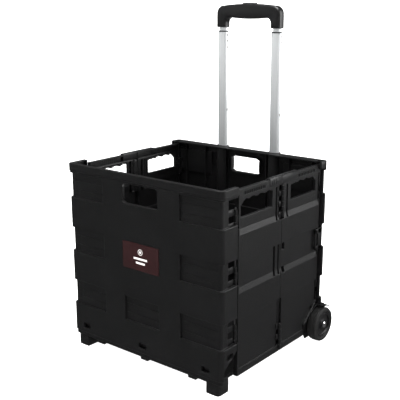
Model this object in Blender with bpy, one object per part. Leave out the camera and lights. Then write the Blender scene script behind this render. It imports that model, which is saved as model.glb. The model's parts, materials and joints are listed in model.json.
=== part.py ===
"""Folding shopping trolley: a crate of hinged plastic panels on two wheels with a telescopic handle.

Metres, +Z up, the front panel faces -Y, the origin is under the middle of the crate on the floor.
Every piece is modelled in its world place and hangs on the empty that stands on its joint's axis.
"""
import math

import bmesh
import bpy
from mathutils import Matrix, Vector

# ---- driving sizes -----------------------------------------------------------------------------
WIDTH = 0.420              # across the front rim
DEPTH = 0.398              # front rim to the back of the wheels
CRATE_TOP = 0.415          # top of the front and rear rims
RIM_H = 0.016              # height of the rim band
RIM_PROUD = 0.0015         # how far the rim stands out from the panels
PANEL_T = 0.0085           # front panel thickness
PANEL_LOW = 0.025          # lower edge of the front panel
SIDE_T = 0.010             # side panel thickness
SIDE_LOW = 0.026           # lower edge of the side panels
SIDE_TOP = 0.408           # top of the side panels
GAP = 0.0003               # between pieces that touch
FOLD_GAP = 0.002           # between the outer faces of two folded side halves

BRICK_PITCH = 0.121        # the panels repeat one recess in three rows
BRICK_LOW = 0.0995
BRICK_H = 0.053
BRICK_DEEP = 0.0045
BRICK_HALF = 0.0475        # half width of the middle column

KNUCKLE_R = 0.0037
PIN_R = 0.0018
PIN_PLAY = 0.0003
OPEN_PLAY = 0.0009         # play at the left front corner, where the linkage is open
KNUCKLE_CLEAR = 0.0046     # how far an edge is cut back from a corner hinge's axis
CORNER_ARM = 0.0075        # length of a corner knuckle's arm
CORNER_WEB = (-0.003, 0.003)
WEB_BITE = 0.0015          # how far the front knuckles' webs run into the returns
MID_WEB = (-0.0075, -0.0012)
MID_CLEAR = 0.0090         # how far an edge is cut back from a middle hinge's axis
MID_ARM = 0.0110           # length of a middle knuckle's arm
MID_WALL = 0.0030          # wall left behind the middle knuckles

WHEEL_R = 0.039
WHEEL_INSET = 0.0065       # from the rim's end to the inner face of a wheel
WHEEL_W = 0.0235
HUB_R = 0.0285
AXLE_R = 0.004
AXLE_HEAD_R = 0.007
AXLE_HEAD_T = 0.0026
ARCH_R = 0.055             # side panel's cut round the wheel
FENDER_R = 0.043
FENDER_OUT = 0.0165        # how far the fender plate reaches out past the rim
FENDER_T = 0.0025
FENDER_RIB = 0.004         # depth of the rib that carries the fender, and its thickness
FENDER_RIB_T = 0.0035
BACKING_R = 0.049          # round plate that closes the arch behind the wheel
BACKING_T = 0.002
BACKING_LOW = 0.012

TUBE_X = 0.0737
TUBE_W = 0.024
TUBE_D = 0.014
TUBE_WALL = 0.0012
TUBE_TOP = 0.682           # top of the lower stage, drawn out
TUBE_LEN = 0.307
INNER_W = 0.018
INNER_D = 0.0105
INNER_WALL = 0.001
INNER_LEN = 0.318
SLEEVE_PLAY = 0.0004
SLEEVE_WALL = 0.0027
SLEEVE_LOW = 0.060
COLLAR_H = 0.0027

GRIP_LOW = 0.692
GRIP_HALF = 0.087
GRIP_LEG = 0.0255          # width of one leg of the grip
GRIP_D = 0.022
GRIP_UNDER = 0.0225        # height of the finger gap above the legs' ends
GRIP_H = 0.049
GRIP_CROWN = 0.004
GRIP_BOW = 0.0028          # how far the underside bows down in the middle
GRIP_SHOULDER = 0.017      # radius of the upper outer corners
GRIP_FILLET = 0.012        # radius of the finger gap's upper corners
GRIP_SOCKET = 0.0235       # how deep the inner tubes sit in the legs
BUTTON_HALF = 0.017
BUTTON_D = 0.0125
BUTTON_TRAVEL = 0.0035
BUTTON_PROUD = 0.002
BUTTON_WELL = 0.011        # depth of the pocket the button slides in
SPRING_WELL = 0.005        # depth of the hollow under the button

FLOOR_T = 0.008
FLOOR_UNDER = 0.0006       # from the floor's top to the side panels that fold over it
FLOOR_INSET = 0.025        # from the rim's end to the floor's edge
FLOOR_BACK = 0.010         # from the floor's end to the rear hinges' line
FOOT_H = 0.034
FOOT_INSET = 0.010         # from the rim's end to a foot
FOOT_W = 0.032
FOOT_D = 0.032
LOCK_HOLD = 0.005          # part of a drawn-back side lock that stays on the rear half's rim
LOCK_LOW = 0.393
LOCK_TOP = 0.411
LOCK_TIP_GAP = 0.002       # from a folded lock's tip to the middle of the crate

# ---- what follows from them --------------------------------------------------------------------
HALF_W = WIDTH / 2
WHEEL_IN = HALF_W - WHEEL_INSET
FLOOR_HALF = HALF_W - FLOOR_INSET
FOOT_OUT = HALF_W - FOOT_INSET
FOOT_IN = FOOT_OUT - FOOT_W
BRICK_SIDE = HALF_W / 2
FRONT_Y = -DEPTH / 2
WHEEL_Y = DEPTH / 2 - WHEEL_R
WHEEL_OUT = WHEEL_IN + WHEEL_W
FACE_X = HALF_W - RIM_PROUD               # outer face of the front panel's returns
FACE_Y = FRONT_Y + RIM_PROUD              # outer face of the front panel
RETURN_IN = FACE_X - PANEL_T
PANEL_IN = FACE_Y + PANEL_T
RIM_LOW = CRATE_TOP - RIM_H
SIDE_OUT = HALF_W - 0.004
SIDE_IN = SIDE_OUT - SIDE_T
HINGE_X = SIDE_IN + 0.003
FRONT_HINGE_Y = FRONT_Y + 0.055
REAR_HINGE_Y = WHEEL_Y - 0.004
MID_HINGE_Y = (FRONT_HINGE_Y + REAR_HINGE_Y) / 2
MID_HINGE_X = SIDE_OUT + FOLD_GAP / 2
ARM = REAR_HINGE_Y - MID_HINGE_Y
RETURN_END = FRONT_HINGE_Y - KNUCKLE_R - 0.0005
WINDOW_Y = FACE_Y + 0.0255                # where the returns' windows over the hinges begin
LOCK_REACH = HINGE_X - ARM - LOCK_TIP_GAP
LOCK_TRAVEL = LOCK_REACH + 0.005
LOCK_BACK = LOCK_TRAVEL + LOCK_HOLD       # part of the side lock behind the middle hinge

REAR_IN = REAR_HINGE_Y + 0.0055           # inner face of the rear panel
REAR_OUT = WHEEL_Y + 0.013                # back of the rear panel
REAR_HALF = HALF_W + 0.004
FLOOR_MID_Z = SIDE_LOW - FLOOR_UNDER - FLOOR_T / 2
REAR_LOW = FLOOR_MID_Z + FLOOR_T / 2 + 0.002
TUBE_Y = REAR_OUT
FLOOR_HINGE_Y = PANEL_IN + FLOOR_T / 2 + 0.001
CHEEK_IN = FLOOR_HALF + 0.003
CHEEK_TOP = WHEEL_R + FENDER_R + 0.0022
AXLE_Z = WHEEL_R
INNER_LOW = GRIP_LOW + 0.023 - INNER_LEN

CORNER_GROUPS = (           # groups of knuckles: lower end, pitch and number of knuckles
    (0.098, 0.013, 3),
    (0.218, 0.013, 3),
    (0.332, 0.013, 3),
)
MID_GROUPS = (
    (0.030, 0.012, 5),
    (0.324, 0.011, 6),
)
REACH = 0.02                              # how far a cutter runs past what it cuts


# ---- meshes ------------------------------------------------------------------------------------
def mesh_from(bm):
    bmesh.ops.recalc_face_normals(bm, faces=bm.faces)
    mesh = bpy.data.meshes.new("piece")
    bm.to_mesh(mesh)
    bm.free()
    return mesh


def prism(outline, axis, low, high):
    """Extrudes an outline along an axis. Its points are the two other axes, in XYZ order."""
    bm = bmesh.new()
    spots = {
        "X": lambda u, v: (low, u, v),
        "Y": lambda u, v: (u, low, v),
        "Z": lambda u, v: (u, v, low),
    }
    face = bm.faces.new([bm.verts.new(spots[axis](u, v)) for u, v in outline])
    run = bmesh.ops.extrude_face_region(bm, geom=[face])
    moved = [item for item in run["geom"] if isinstance(item, bmesh.types.BMVert)]
    offset = Vector([high - low if axis == name else 0.0 for name in "XYZ"])
    bmesh.ops.translate(bm, vec=offset, verts=moved)
    return mesh_from(bm)


def box(x0, x1, y0, y1, z0, z1):
    return prism([(x0, y0), (x1, y0), (x1, y1), (x0, y1)], "Z", z0, z1)


def rounded(points, radii, steps=3):
    """Rounds an outline's corners; one radius for all, or one each."""
    count = len(points)
    if not isinstance(radii, (list, tuple)):
        radii = [radii] * count
    outline = []
    for index, radius in enumerate(radii):
        corner = Vector(points[index])
        if radius <= 0:
            outline.append(tuple(corner))
            continue
        back = (Vector(points[index - 1]) - corner).normalized()
        ahead = (Vector(points[(index + 1) % count]) - corner).normalized()
        half = back.angle(ahead) / 2
        centre = corner + (back + ahead).normalized() * radius / math.sin(half)
        first = corner + back * radius / math.tan(half) - centre
        last = corner + ahead * radius / math.tan(half) - centre
        turn = first.angle_signed(last)
        for step in range(steps + 1):
            angle = -turn * step / steps
            spot = centre + Matrix.Rotation(angle, 2) @ first
            outline.append(tuple(spot))
    return outline


def oval(cx, cy, width, depth, radius, steps=3):
    """A tube's section: a rectangle with well rounded corners."""
    w = width / 2
    d = depth / 2
    corners = [(cx - w, cy - d), (cx + w, cy - d), (cx + w, cy + d), (cx - w, cy + d)]
    return rounded(corners, radius, steps)


def circle(cu, cv, radius, sides):
    turn = 2 * math.pi / sides
    return [(cu + radius * math.cos(turn * i), cv + radius * math.sin(turn * i)) for i in range(sides)]


def arc_band(cu, cv, inner, outer, start, end, steps):
    """The outline of a curved strip between two radii."""
    angles = [start + (end - start) * i / steps for i in range(steps + 1)]
    out = [(cu + outer * math.cos(a), cv + outer * math.sin(a)) for a in angles]
    back = [(cu + inner * math.cos(a), cv + inner * math.sin(a)) for a in reversed(angles)]
    return out + back


def turned(profile, x_axis_place, sides):
    """Turns a closed profile of (x, radius) points round the X line through (y, z)."""
    bm = bmesh.new()
    y, z = x_axis_place
    verts = [bm.verts.new((px, y + pr, z)) for px, pr in profile]
    edges = [bm.edges.new((verts[i - 1], verts[i])) for i in range(len(verts))]
    bmesh.ops.spin(bm, geom=verts + edges, cent=(0, y, z), axis=(1, 0, 0), angle=2 * math.pi,
                   steps=sides, use_merge=True)
    bmesh.ops.remove_doubles(bm, verts=bm.verts, dist=1e-6)
    return mesh_from(bm)


def mirrored(mesh):
    """The same piece on the other side of the trolley."""
    copy = mesh.copy()
    copy.transform(Matrix.Scale(-1, 4, (1, 0, 0)))
    copy.flip_normals()
    return copy


def joined(base, pieces, operation):
    """Adds pieces to a mesh, or cuts them from it, with one exact boolean."""
    if not pieces:
        return base
    group = bpy.data.collections.new("tools")
    bpy.context.scene.collection.children.link(group)
    body = bpy.data.objects.new("body", base)
    bpy.context.scene.collection.objects.link(body)
    for piece in pieces:
        group.objects.link(bpy.data.objects.new("tool", piece))
    modifier = body.modifiers.new("join", "BOOLEAN")
    modifier.operation = operation
    modifier.operand_type = "COLLECTION"
    modifier.collection = group
    modifier.solver = "EXACT"
    depsgraph = bpy.context.evaluated_depsgraph_get()
    result = bpy.data.meshes.new_from_object(body.evaluated_get(depsgraph))
    for tool in list(group.objects):
        bpy.data.objects.remove(tool)
    bpy.data.objects.remove(body)
    bpy.data.collections.remove(group)
    return result


def solid(base, add=(), cut=()):
    return joined(joined(base, list(add), "UNION"), list(cut), "DIFFERENCE")


def softened(mesh, width, segments, angle=40):
    """Rounds the outward edges of a mesh."""
    bm = bmesh.new()
    bm.from_mesh(mesh)
    bmesh.ops.dissolve_limit(bm, angle_limit=0.001, verts=bm.verts, edges=bm.edges)
    limit = math.radians(angle)
    sharp = [edge for edge in bm.edges if edge.calc_face_angle_signed(0) > limit]
    bmesh.ops.bevel(bm, geom=sharp, offset=width, segments=segments, affect="EDGES", profile=0.5,
                    clamp_overlap=True)
    return mesh_from(bm)


# ---- materials, bodies and nodes -----------------------------------------------------------------
def material(name, colour, roughness, metallic=0.0):
    made = bpy.data.materials.new(name)
    made.use_nodes = True
    shader = made.node_tree.nodes["Principled BSDF"]
    shader.inputs["Base Color"].default_value = (*colour, 1.0)
    shader.inputs["Roughness"].default_value = roughness
    shader.inputs["Metallic"].default_value = metallic
    made.diffuse_color = (*colour, 1.0)
    return made


BLACK = ((0.028, 0.028, 0.030), 0.55)
RUBBER = ((0.018, 0.018, 0.018), 0.75)
ALUMINIUM = ((0.62, 0.62, 0.63), 0.35, 1.0)
STEEL = ((0.55, 0.55, 0.56), 0.30, 1.0)
CHROME = ((0.80, 0.80, 0.82), 0.10, 1.0)
MAROON = ((0.16, 0.035, 0.045), 0.40)

BODIES = {}


def body(name, place, parent=None):
    """The empty on a joint's axis that carries the pieces which move together."""
    empty = bpy.data.objects.new(name, None)
    bpy.context.scene.collection.objects.link(empty)
    origin = Vector(place)
    if parent:
        empty.parent = BODIES[parent][0]
        empty.location = origin - BODIES[parent][1]
    else:
        empty.location = origin
    BODIES[name] = (empty, origin)


def node(name, mesh, body_name, look):
    empty, origin = BODIES[body_name]
    mesh.transform(Matrix.Translation(-origin))
    mesh.name = name
    made = bpy.data.objects.new(name, mesh)
    mesh.materials.clear()
    mesh.materials.append(material(name, *look))
    bpy.context.scene.collection.objects.link(made)
    made.parent = empty


def both_sides(name, mesh, body_name, look):
    """A right-hand piece and its mirror image; a moving pair's bodies end the same way."""
    left = mirrored(mesh)
    paired = f"{body_name}_right" in BODIES
    node(f"{name}_right", mesh, f"{body_name}_right" if paired else body_name, look)
    node(f"{name}_left", left, f"{body_name}_left" if paired else body_name, look)


# ---- hinges ------------------------------------------------------------------------------------
def knuckle(x, y, towards_x, towards_y, z0, z1):
    """A barrel round the hinge axis and the web that ties it to its panel."""
    barrel = prism(circle(x, y, KNUCKLE_R, 12), "Z", z0, z1)
    across = sorted(x + reach for reach in towards_x)
    web = box(*across, *sorted((y, y + towards_y)), z0, z1)
    return solid(barrel, add=[web])


def knuckle_spans(groups, first):
    """Heights of one panel's knuckles: every other one of each group."""
    return [(low + step * i, low + step * (i + 1) - GAP)
            for low, step, count in groups for i in range(first, count, 2)]


def pin_bore(x, y, play, z0, z1):
    return prism(circle(x, y, PIN_R + play, 10), "Z", z0, z1)


def hinge_pin(x, y, z0, z1):
    return prism(circle(x, y, PIN_R, 10), "Z", z0, z1)


# ---- front panel -------------------------------------------------------------------------------
def wrap_recess(z0, z1, side):
    """The outer column's recess, which runs round the corner onto the return."""
    deep_x = FACE_X - BRICK_DEEP
    deep_y = FACE_Y + BRICK_DEEP
    inner = rounded([(BRICK_SIDE, deep_y), (deep_x, deep_y), (deep_x, RETURN_END + REACH)],
                    [0, 0.006, 0])
    outer = [(HALF_W + REACH, RETURN_END + REACH), (HALF_W + REACH, FRONT_Y - REACH),
             (BRICK_SIDE, FRONT_Y - REACH)]
    return prism([(side * x, y) for x, y in inner + outer], "Z", z0, z1)


def panel_outline(half, front, end, inner_x, inner_y, radius):
    return rounded([(-half, end), (-half, front), (half, front), (half, end),
                    (inner_x, end), (inner_x, inner_y), (-inner_x, inner_y), (-inner_x, end)],
                   [0, radius, radius, 0, 0, 0.001, 0.001, 0])


LEDGE_H = 0.0045                         # ledge inside the front rim
FLOOR_SLOT_HALF = 0.010                  # slots over the floor's hinge lugs
FLOOR_SLOT = (0.045, 0.056)
LOW_STEP = 0.002                         # depth of the step along the lower edge
RETURN_SLOPE = (0.054, 0.086)            # heights between which the returns' lower edge rises
RETURN_SLOT = (0.073, 0.085)             # small slot above that edge


def front_panel():
    shell = prism(panel_outline(FACE_X, FACE_Y, RETURN_END, RETURN_IN, PANEL_IN, 0.010),
                  "Z", PANEL_LOW, CRATE_TOP - LEDGE_H)
    rim = prism(panel_outline(HALF_W, FRONT_Y, RETURN_END, RETURN_IN, PANEL_IN, 0.011),
                "Z", RIM_LOW, CRATE_TOP)
    ledge = box(-RETURN_IN - 0.002, RETURN_IN + 0.002, PANEL_IN - 0.003, PANEL_IN + 0.004,
                CRATE_TOP - LEDGE_H, CRATE_TOP)
    add = [rim, ledge]
    for x in FLOOR_LUGS:
        add.append(floor_lug(x))
    cut = []
    for row in range(3):
        z0 = BRICK_LOW + row * BRICK_PITCH
        cut += [wrap_recess(z0, z0 + BRICK_H, side) for side in (-1, 1)]
    cut.append(box(-BRICK_HALF, BRICK_HALF, FRONT_Y - REACH, FACE_Y + BRICK_DEEP,
                   BRICK_LOW, BRICK_LOW + BRICK_H))
    cut.append(label_block(GAP, -REACH))
    cut.append(handle_hole(BRICK_HALF, OPENING_LOW, OPENING_TOP, FRONT_Y - REACH, PANEL_IN + REACH))
    for x in (-FOOT_IN, 0, FOOT_IN):
        cut.append(box(x - FLOOR_SLOT_HALF, x + FLOOR_SLOT_HALF, FRONT_Y - REACH,
                       PANEL_IN - 0.0015, *FLOOR_SLOT))
    cut.append(box(-HALF_W - REACH, HALF_W + REACH, FRONT_Y - REACH, FACE_Y + LOW_STEP,
                   PANEL_LOW - REACH, FOOT_H))
    for side in (-1, 1):
        slope = [(PANEL_IN - 0.0005, PANEL_LOW - REACH), (PANEL_IN - 0.0005, RETURN_SLOPE[0]),
                 (RETURN_END + 0.002, RETURN_SLOPE[1]), (RETURN_END + 0.002, PANEL_LOW - REACH)]
        edges = sorted((side * (RETURN_IN - 0.001), side * (HALF_W + REACH)))
        cut.append(prism(slope, "X", *edges))
        cut.append(box(*edges, FACE_Y + 0.018, FACE_Y + 0.036, *RETURN_SLOT))
        for row in range(3):
            z0 = BRICK_LOW + row * BRICK_PITCH
            cut.append(box(*edges, WINDOW_Y, RETURN_END + REACH, z0, z0 + BRICK_H))
    panel = solid(shell, add=add, cut=cut)
    lugs = []
    bores = []
    for side in (-1, 1):
        x = side * HINGE_X
        web = (-side * KNUCKLE_R, side * (RETURN_IN + WEB_BITE - HINGE_X))
        lugs += [knuckle(x, FRONT_HINGE_Y, web, WINDOW_Y - 0.002 - FRONT_HINGE_Y, *span)
                 for span in knuckle_spans(CORNER_GROUPS, 0)]
        play = OPEN_PLAY if side < 0 else PIN_PLAY
        bores.append(pin_bore(x, FRONT_HINGE_Y, play, PANEL_LOW, SIDE_TOP))
    return solid(panel, add=lugs, cut=bores + [floor_pin_bore()])


def handle_hole(half, z0, z1, y0, y1):
    return prism(rounded([(-half, z0), (half, z0), (half, z1), (-half, z1)], 0.009), "Y", y0, y1)


OPENING_LOW = BRICK_LOW + 2 * BRICK_PITCH + 0.0115
OPENING_TOP = BRICK_LOW + 2 * BRICK_PITCH + BRICK_H
LABEL_HALF = 0.050
LABEL_LOW = BRICK_LOW + BRICK_PITCH - 0.0045
LABEL_H = 0.058


def label_block(margin, out):
    """The label's block; with a margin it cuts the label's seat."""
    return box(-LABEL_HALF - margin, LABEL_HALF + margin,
               FACE_Y - 0.0005 + out, FACE_Y + 0.0012 + margin,
               LABEL_LOW - margin, LABEL_LOW + LABEL_H + margin)


# ---- floor panel and its hinge -------------------------------------------------------------------
FLOOR_LUGS = (-0.130, 0.0, 0.130)
LUG_HALF = 0.010
FLOOR_PIN_HALF = 0.158


def floor_pin_bore():
    return prism(circle(FLOOR_HINGE_Y, FLOOR_MID_Z, PIN_R + PIN_PLAY, 10), "X",
                 -FLOOR_PIN_HALF - 0.001, FLOOR_PIN_HALF + 0.001)


def floor_lug(x):
    barrel = prism(circle(FLOOR_HINGE_Y, FLOOR_MID_Z, FLOOR_T / 2, 18), "X", x - LUG_HALF, x + LUG_HALF)
    web = box(x - LUG_HALF, x + LUG_HALF, PANEL_IN - 0.004, FLOOR_HINGE_Y,
              FLOOR_MID_Z, FLOOR_MID_Z + FLOOR_T / 2)
    root = box(x - LUG_HALF, x + LUG_HALF, FACE_Y + 0.003, PANEL_IN, PANEL_LOW - 0.002, FOOT_H)
    return solid(barrel, add=[web, root])


def floor_panel():
    end = REAR_HINGE_Y - FLOOR_BACK
    low = FLOOR_MID_Z - FLOOR_T / 2
    high = FLOOR_MID_Z + FLOOR_T / 2
    foot_reach = math.hypot(FRONT_Y + 0.004 + FOOT_D - FLOOR_HINGE_Y, FOOT_H - FLOOR_MID_Z)
    notch_end = FLOOR_HINGE_Y + foot_reach + 0.001
    notch_x = FOOT_IN - 0.002
    front = FLOOR_HINGE_Y
    outline = [(-notch_x, front), (notch_x, front), (notch_x, notch_end), (FLOOR_HALF, notch_end),
               (FLOOR_HALF, end), (-FLOOR_HALF, end), (-FLOOR_HALF, notch_end),
               (-notch_x, notch_end)]
    plate = prism(outline, "Z", low, high)
    barrel = prism(circle(FLOOR_HINGE_Y, FLOOR_MID_Z, FLOOR_T / 2 - 0.0002, 20), "X",
                   -notch_x, notch_x)
    cut = []
    for x in FLOOR_LUGS:
        cut.append(box(x - LUG_HALF - 0.0006, x + LUG_HALF + 0.0006, FLOOR_HINGE_Y - REACH,
                       FLOOR_HINGE_Y + 0.0105, low - REACH, high + REACH))
    columns = 5
    rows = 4
    rim = 0.012
    cell_x = (2 * notch_x - rim) / columns
    cell_y = (end - notch_end - rim) / rows
    for i in range(columns):
        for j in range(rows):
            x0 = -notch_x + rim + i * cell_x
            y0 = notch_end + rim + j * cell_y
            cut.append(box(x0, x0 + cell_x - rim, y0, y0 + cell_y - rim, low - REACH, high - 0.003))
    return solid(plate, add=[barrel], cut=cut + [floor_pin_bore()])


def front_foot():
    y0 = FRONT_Y + 0.004
    profile = [(y0, 0), (y0 + FOOT_D, 0), (y0 + FOOT_D, FOOT_H),
               (PANEL_IN + GAP, FOOT_H), (PANEL_IN + GAP, PANEL_LOW - GAP), (y0, PANEL_LOW - GAP)]
    return softened(prism(profile, "X", FOOT_IN, FOOT_OUT - GAP), 0.0012, 1)


# ---- side panels ---------------------------------------------------------------------------------
SIDE_ZONES = (              # recessed zones of the outer face: low, high, height of the sloped step
    (0.040, 0.145, 0.0),
    (0.200, 0.266, 0.012),
    (0.318, 0.391, 0.012),
)
ZONE_DEEP = 0.004
ZONE_BORDER = 0.004
SKIN = 0.003
POCKETS = (                 # pockets of the inner face: low, high, behind a recessed zone or not
    (0.044, 0.141, True),
    (0.149, 0.196, False),
    (0.216, 0.262, True),
    (0.270, 0.314, False),
)


FRONT_SLOTS = (             # slots through a half: distances from its hinged edge, low, high
    (0.0200, 0.0145, 0.322, 0.3895),
    (0.0256, 0.0186, 0.204, 0.2655),
    (0.0092, 0.0042, 0.204, 0.2655),
)
REAR_SLOTS = (
    (0.0185, 0.0240, 0.322, 0.3895),
    (0.0050, 0.0150, 0.250, 0.2655),
)


def side_zone(z0, z1, step, y0, y1):
    deep = SIDE_OUT - ZONE_DEEP
    out = SIDE_OUT + REACH
    profile = [(out, z0), (SIDE_OUT, z0), (deep, z0 + step), (deep, z1), (out, z1)]
    if step == 0:
        profile = [(out, z0), (deep, z0), (deep, z1), (out, z1)]
    return prism(profile, "Y", y0, y1)


def finger_hole(y0, y1, z0, z1, fingers, step_side):
    """A handle opening with a scalloped top edge and one upper corner cut back."""
    points = [(y0, z0), (y1, z0)]
    corner = 0.018
    top0 = y0 + (corner if step_side < 0 else 0.004)
    top1 = y1 - (corner if step_side > 0 else 0.004)
    points.append((y1, z1 - (0.013 if step_side > 0 else 0.004)))
    each = (top1 - top0) / fingers
    for finger in range(fingers):
        right = top1 - finger * each
        for step in range(5):
            share = step / 5
            lift = 0.0028 * math.sin(math.pi * share)
            points.append((right - each * share, z1 - 0.003 + lift))
    points.append((top0, z1 - 0.003))
    points.append((y0, z1 - (0.013 if step_side < 0 else 0.004)))
    return prism(points, "X", SIDE_IN - REACH, SIDE_OUT + REACH)


def side_cuts(y0, y1, zone_y0, zone_y1):
    """Recessed zones outside and pockets inside, for a half between y0 and y1."""
    cut = [side_zone(*zone, zone_y0, zone_y1) for zone in SIDE_ZONES]
    inside = 0.013
    for z0, z1, behind_zone in POCKETS:
        skin_in = SIDE_OUT - SKIN - (ZONE_DEEP if behind_zone else 0)
        cut.append(box(SIDE_IN - REACH, skin_in, y0 + inside, y1 - inside, z0, z1))
    return cut


def hinge_relief(y, direction, spans, clear, inner_wall):
    """Cuts a half's edge back from a hinge over some spans of height, down to an inner wall."""
    cut = []
    ends = sorted((y - direction * REACH, y + direction * clear))
    start = SIDE_IN + inner_wall if inner_wall else SIDE_IN - REACH
    for low, high in spans:
        cut.append(box(start, SIDE_OUT + REACH, *ends, low - 0.0006, high + 0.0003))
    return cut


CORNER_RELIEFS = [(low, low + step * count) for low, step, count in CORNER_GROUPS]
MID_RELIEFS = ((0.030, 0.145), (0.324, 0.390))
VENTS = 13                               # grooves along the front half's rim
VENT_PITCH = 0.006
VENT_LOW = 0.3955
VENT_TOP = 0.402
VENT_DEEP = 0.0018


def side_front():
    y0 = FRONT_HINGE_Y + 0.0005
    y1 = MID_HINGE_Y - 0.0004
    slab = box(SIDE_IN, SIDE_OUT, y0, y1, SIDE_LOW, SIDE_TOP)
    cut = side_cuts(y0, y1, y0 + ZONE_BORDER, y1 + REACH)
    cut.append(finger_hole(y0 + 0.0095, y1 - 0.0316, OPENING_LOW - 0.002, 0.388, 4, -1))
    for start, end, low, high in FRONT_SLOTS:
        cut.append(box(SIDE_IN - REACH, SIDE_OUT + REACH, y1 - start, y1 - end, low, high))
    cut.append(box(SIDE_IN - REACH, SIDE_OUT + REACH, MID_HINGE_Y - LOCK_REACH - 0.0015,
                   MID_HINGE_Y + REACH, LOCK_LOW - 0.002, SIDE_TOP + REACH))
    for vent in range(VENTS):
        y = y0 + 3 * VENT_PITCH + vent * VENT_PITCH
        if y + VENT_PITCH < MID_HINGE_Y - LOCK_REACH:
            cut.append(box(SIDE_OUT - VENT_DEEP, SIDE_OUT + REACH, y, y + VENT_PITCH / 2,
                           VENT_LOW, VENT_TOP))
    cut += hinge_relief(FRONT_HINGE_Y, 1, CORNER_RELIEFS, KNUCKLE_CLEAR, 0)
    cut += hinge_relief(MID_HINGE_Y, -1, MID_RELIEFS, MID_CLEAR, MID_WALL)
    half = solid(slab, cut=cut)
    lugs = [knuckle(HINGE_X, FRONT_HINGE_Y, CORNER_WEB, CORNER_ARM, *span)
            for span in knuckle_spans(CORNER_GROUPS, 1)]
    lugs += [knuckle(MID_HINGE_X, MID_HINGE_Y, MID_WEB, -MID_ARM, *span)
             for span in knuckle_spans(MID_GROUPS, 0)]
    bores = [pin_bore(HINGE_X, FRONT_HINGE_Y, PIN_PLAY, SIDE_LOW + 0.06, SIDE_TOP - 0.02),
             pin_bore(MID_HINGE_X, MID_HINGE_Y, PIN_PLAY, SIDE_LOW - REACH, SIDE_TOP + REACH)]
    return solid(half, add=lugs, cut=bores)


def side_rear():
    y0 = MID_HINGE_Y + 0.0004
    y1 = REAR_HINGE_Y - 0.0005
    slab = box(SIDE_IN, SIDE_OUT, y0, y1, SIDE_LOW, SIDE_TOP)
    cut = side_cuts(y0, y1, y0 - REACH, y1 - ZONE_BORDER)
    cut.append(finger_hole(y0 + 0.0346, y1 - 0.0150, OPENING_LOW - 0.001, 0.388, 4, 1))
    for start, end, low, high in REAR_SLOTS:
        cut.append(box(SIDE_IN - REACH, SIDE_OUT + REACH, y0 + start, y0 + end, low, high))
    notch = [(y0 + 0.005, 0.204), (y0 + 0.0155, 0.204), (y0 + 0.005, 0.216)]
    cut.append(prism(notch, "X", SIDE_IN - REACH, SIDE_OUT + REACH))
    channel_end = MID_HINGE_Y + LOCK_BACK + LOCK_TRAVEL + 0.001
    cut.append(box(LOCK_FLANGE_IN - GAP, SIDE_OUT + REACH, y0 - REACH, channel_end,
                   LOCK_LOW - 0.002, SIDE_TOP + REACH))
    cut.append(box(SIDE_IN - REACH, SIDE_OUT + REACH, y0 - REACH, MID_HINGE_Y + LOCK_TRAVEL + 0.001,
                   LOCK_LOW - 0.002, SIDE_TOP + REACH))
    cut.append(prism(circle(WHEEL_Y, AXLE_Z, ARCH_R, 48), "X", SIDE_IN - REACH, SIDE_OUT + REACH))
    cut += hinge_relief(REAR_HINGE_Y, -1, CORNER_RELIEFS, KNUCKLE_CLEAR, 0)
    cut += hinge_relief(MID_HINGE_Y, 1, MID_RELIEFS, MID_CLEAR, MID_WALL)
    half = solid(slab, cut=cut)
    lugs = [knuckle(HINGE_X, REAR_HINGE_Y, CORNER_WEB, -CORNER_ARM, *span)
            for span in knuckle_spans(CORNER_GROUPS, 1)]
    lugs += [knuckle(MID_HINGE_X, MID_HINGE_Y, MID_WEB, MID_ARM, *span)
             for span in knuckle_spans(MID_GROUPS, 1)]
    bores = [pin_bore(HINGE_X, REAR_HINGE_Y, PIN_PLAY, CHEEK_TOP, SIDE_TOP - 0.02),
             pin_bore(MID_HINGE_X, MID_HINGE_Y, PIN_PLAY, SIDE_LOW - REACH, SIDE_TOP + REACH)]
    return solid(half, add=lugs, cut=bores)


# ---- side locks ----------------------------------------------------------------------------------
LOCK_OUT = SIDE_OUT + 0.0012
LOCK_FLANGE_IN = SIDE_OUT - 0.0022


def side_lock():
    """A bar over the rim: a cap behind the hinge, a full block in the front half's notch."""
    front = MID_HINGE_Y - LOCK_REACH
    back = MID_HINGE_Y + LOCK_BACK
    block = box(SIDE_IN + 0.001, LOCK_OUT, front, MID_HINGE_Y - 0.0002, LOCK_LOW, LOCK_TOP)
    web = box(SIDE_IN + 0.001, LOCK_OUT, MID_HINGE_Y - 0.002, back, SIDE_TOP + GAP, LOCK_TOP)
    flange = box(LOCK_FLANGE_IN, LOCK_OUT, MID_HINGE_Y - 0.002, back, LOCK_LOW, LOCK_TOP - 0.001)
    hollow = box(SIDE_IN - REACH, LOCK_FLANGE_IN - 0.002, front + 0.003, MID_HINGE_Y - 0.003,
                 LOCK_LOW - REACH, LOCK_TOP - 0.003)
    return solid(block, add=[web, flange], cut=[hollow])


# ---- rear panel ----------------------------------------------------------------------------------
def sleeve_section(grow):
    return oval(TUBE_X, TUBE_Y, TUBE_W + 2 * grow, TUBE_D + 2 * grow, 0.0062 + grow)


REAR_HANDLE_HALF = 0.039
TAB_FRONT = REAR_HINGE_Y - 0.019         # the latch tab on each end of the rear panel
TAB_SPAN = (0.218, 0.265)
TAB_IN = SIDE_OUT + 0.0008
TAB_T = 0.0032
BEZEL_SEAT = 0.004                       # depth of a tube mouth's bezel below the rim


def rear_recess(z0, z1, side):
    deep_x = REAR_HALF - BRICK_DEEP
    deep_y = REAR_OUT - BRICK_DEEP
    inner = rounded([(BRICK_SIDE, deep_y), (deep_x, deep_y), (deep_x, REAR_IN - REACH)],
                    [0, 0.006, 0])
    outer = [(REAR_HALF + REACH, REAR_IN - REACH), (REAR_HALF + REACH, REAR_OUT + REACH),
             (BRICK_SIDE, REAR_OUT + REACH)]
    return prism([(side * x, y) for x, y in inner + outer], "Z", z0, z1)


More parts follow.
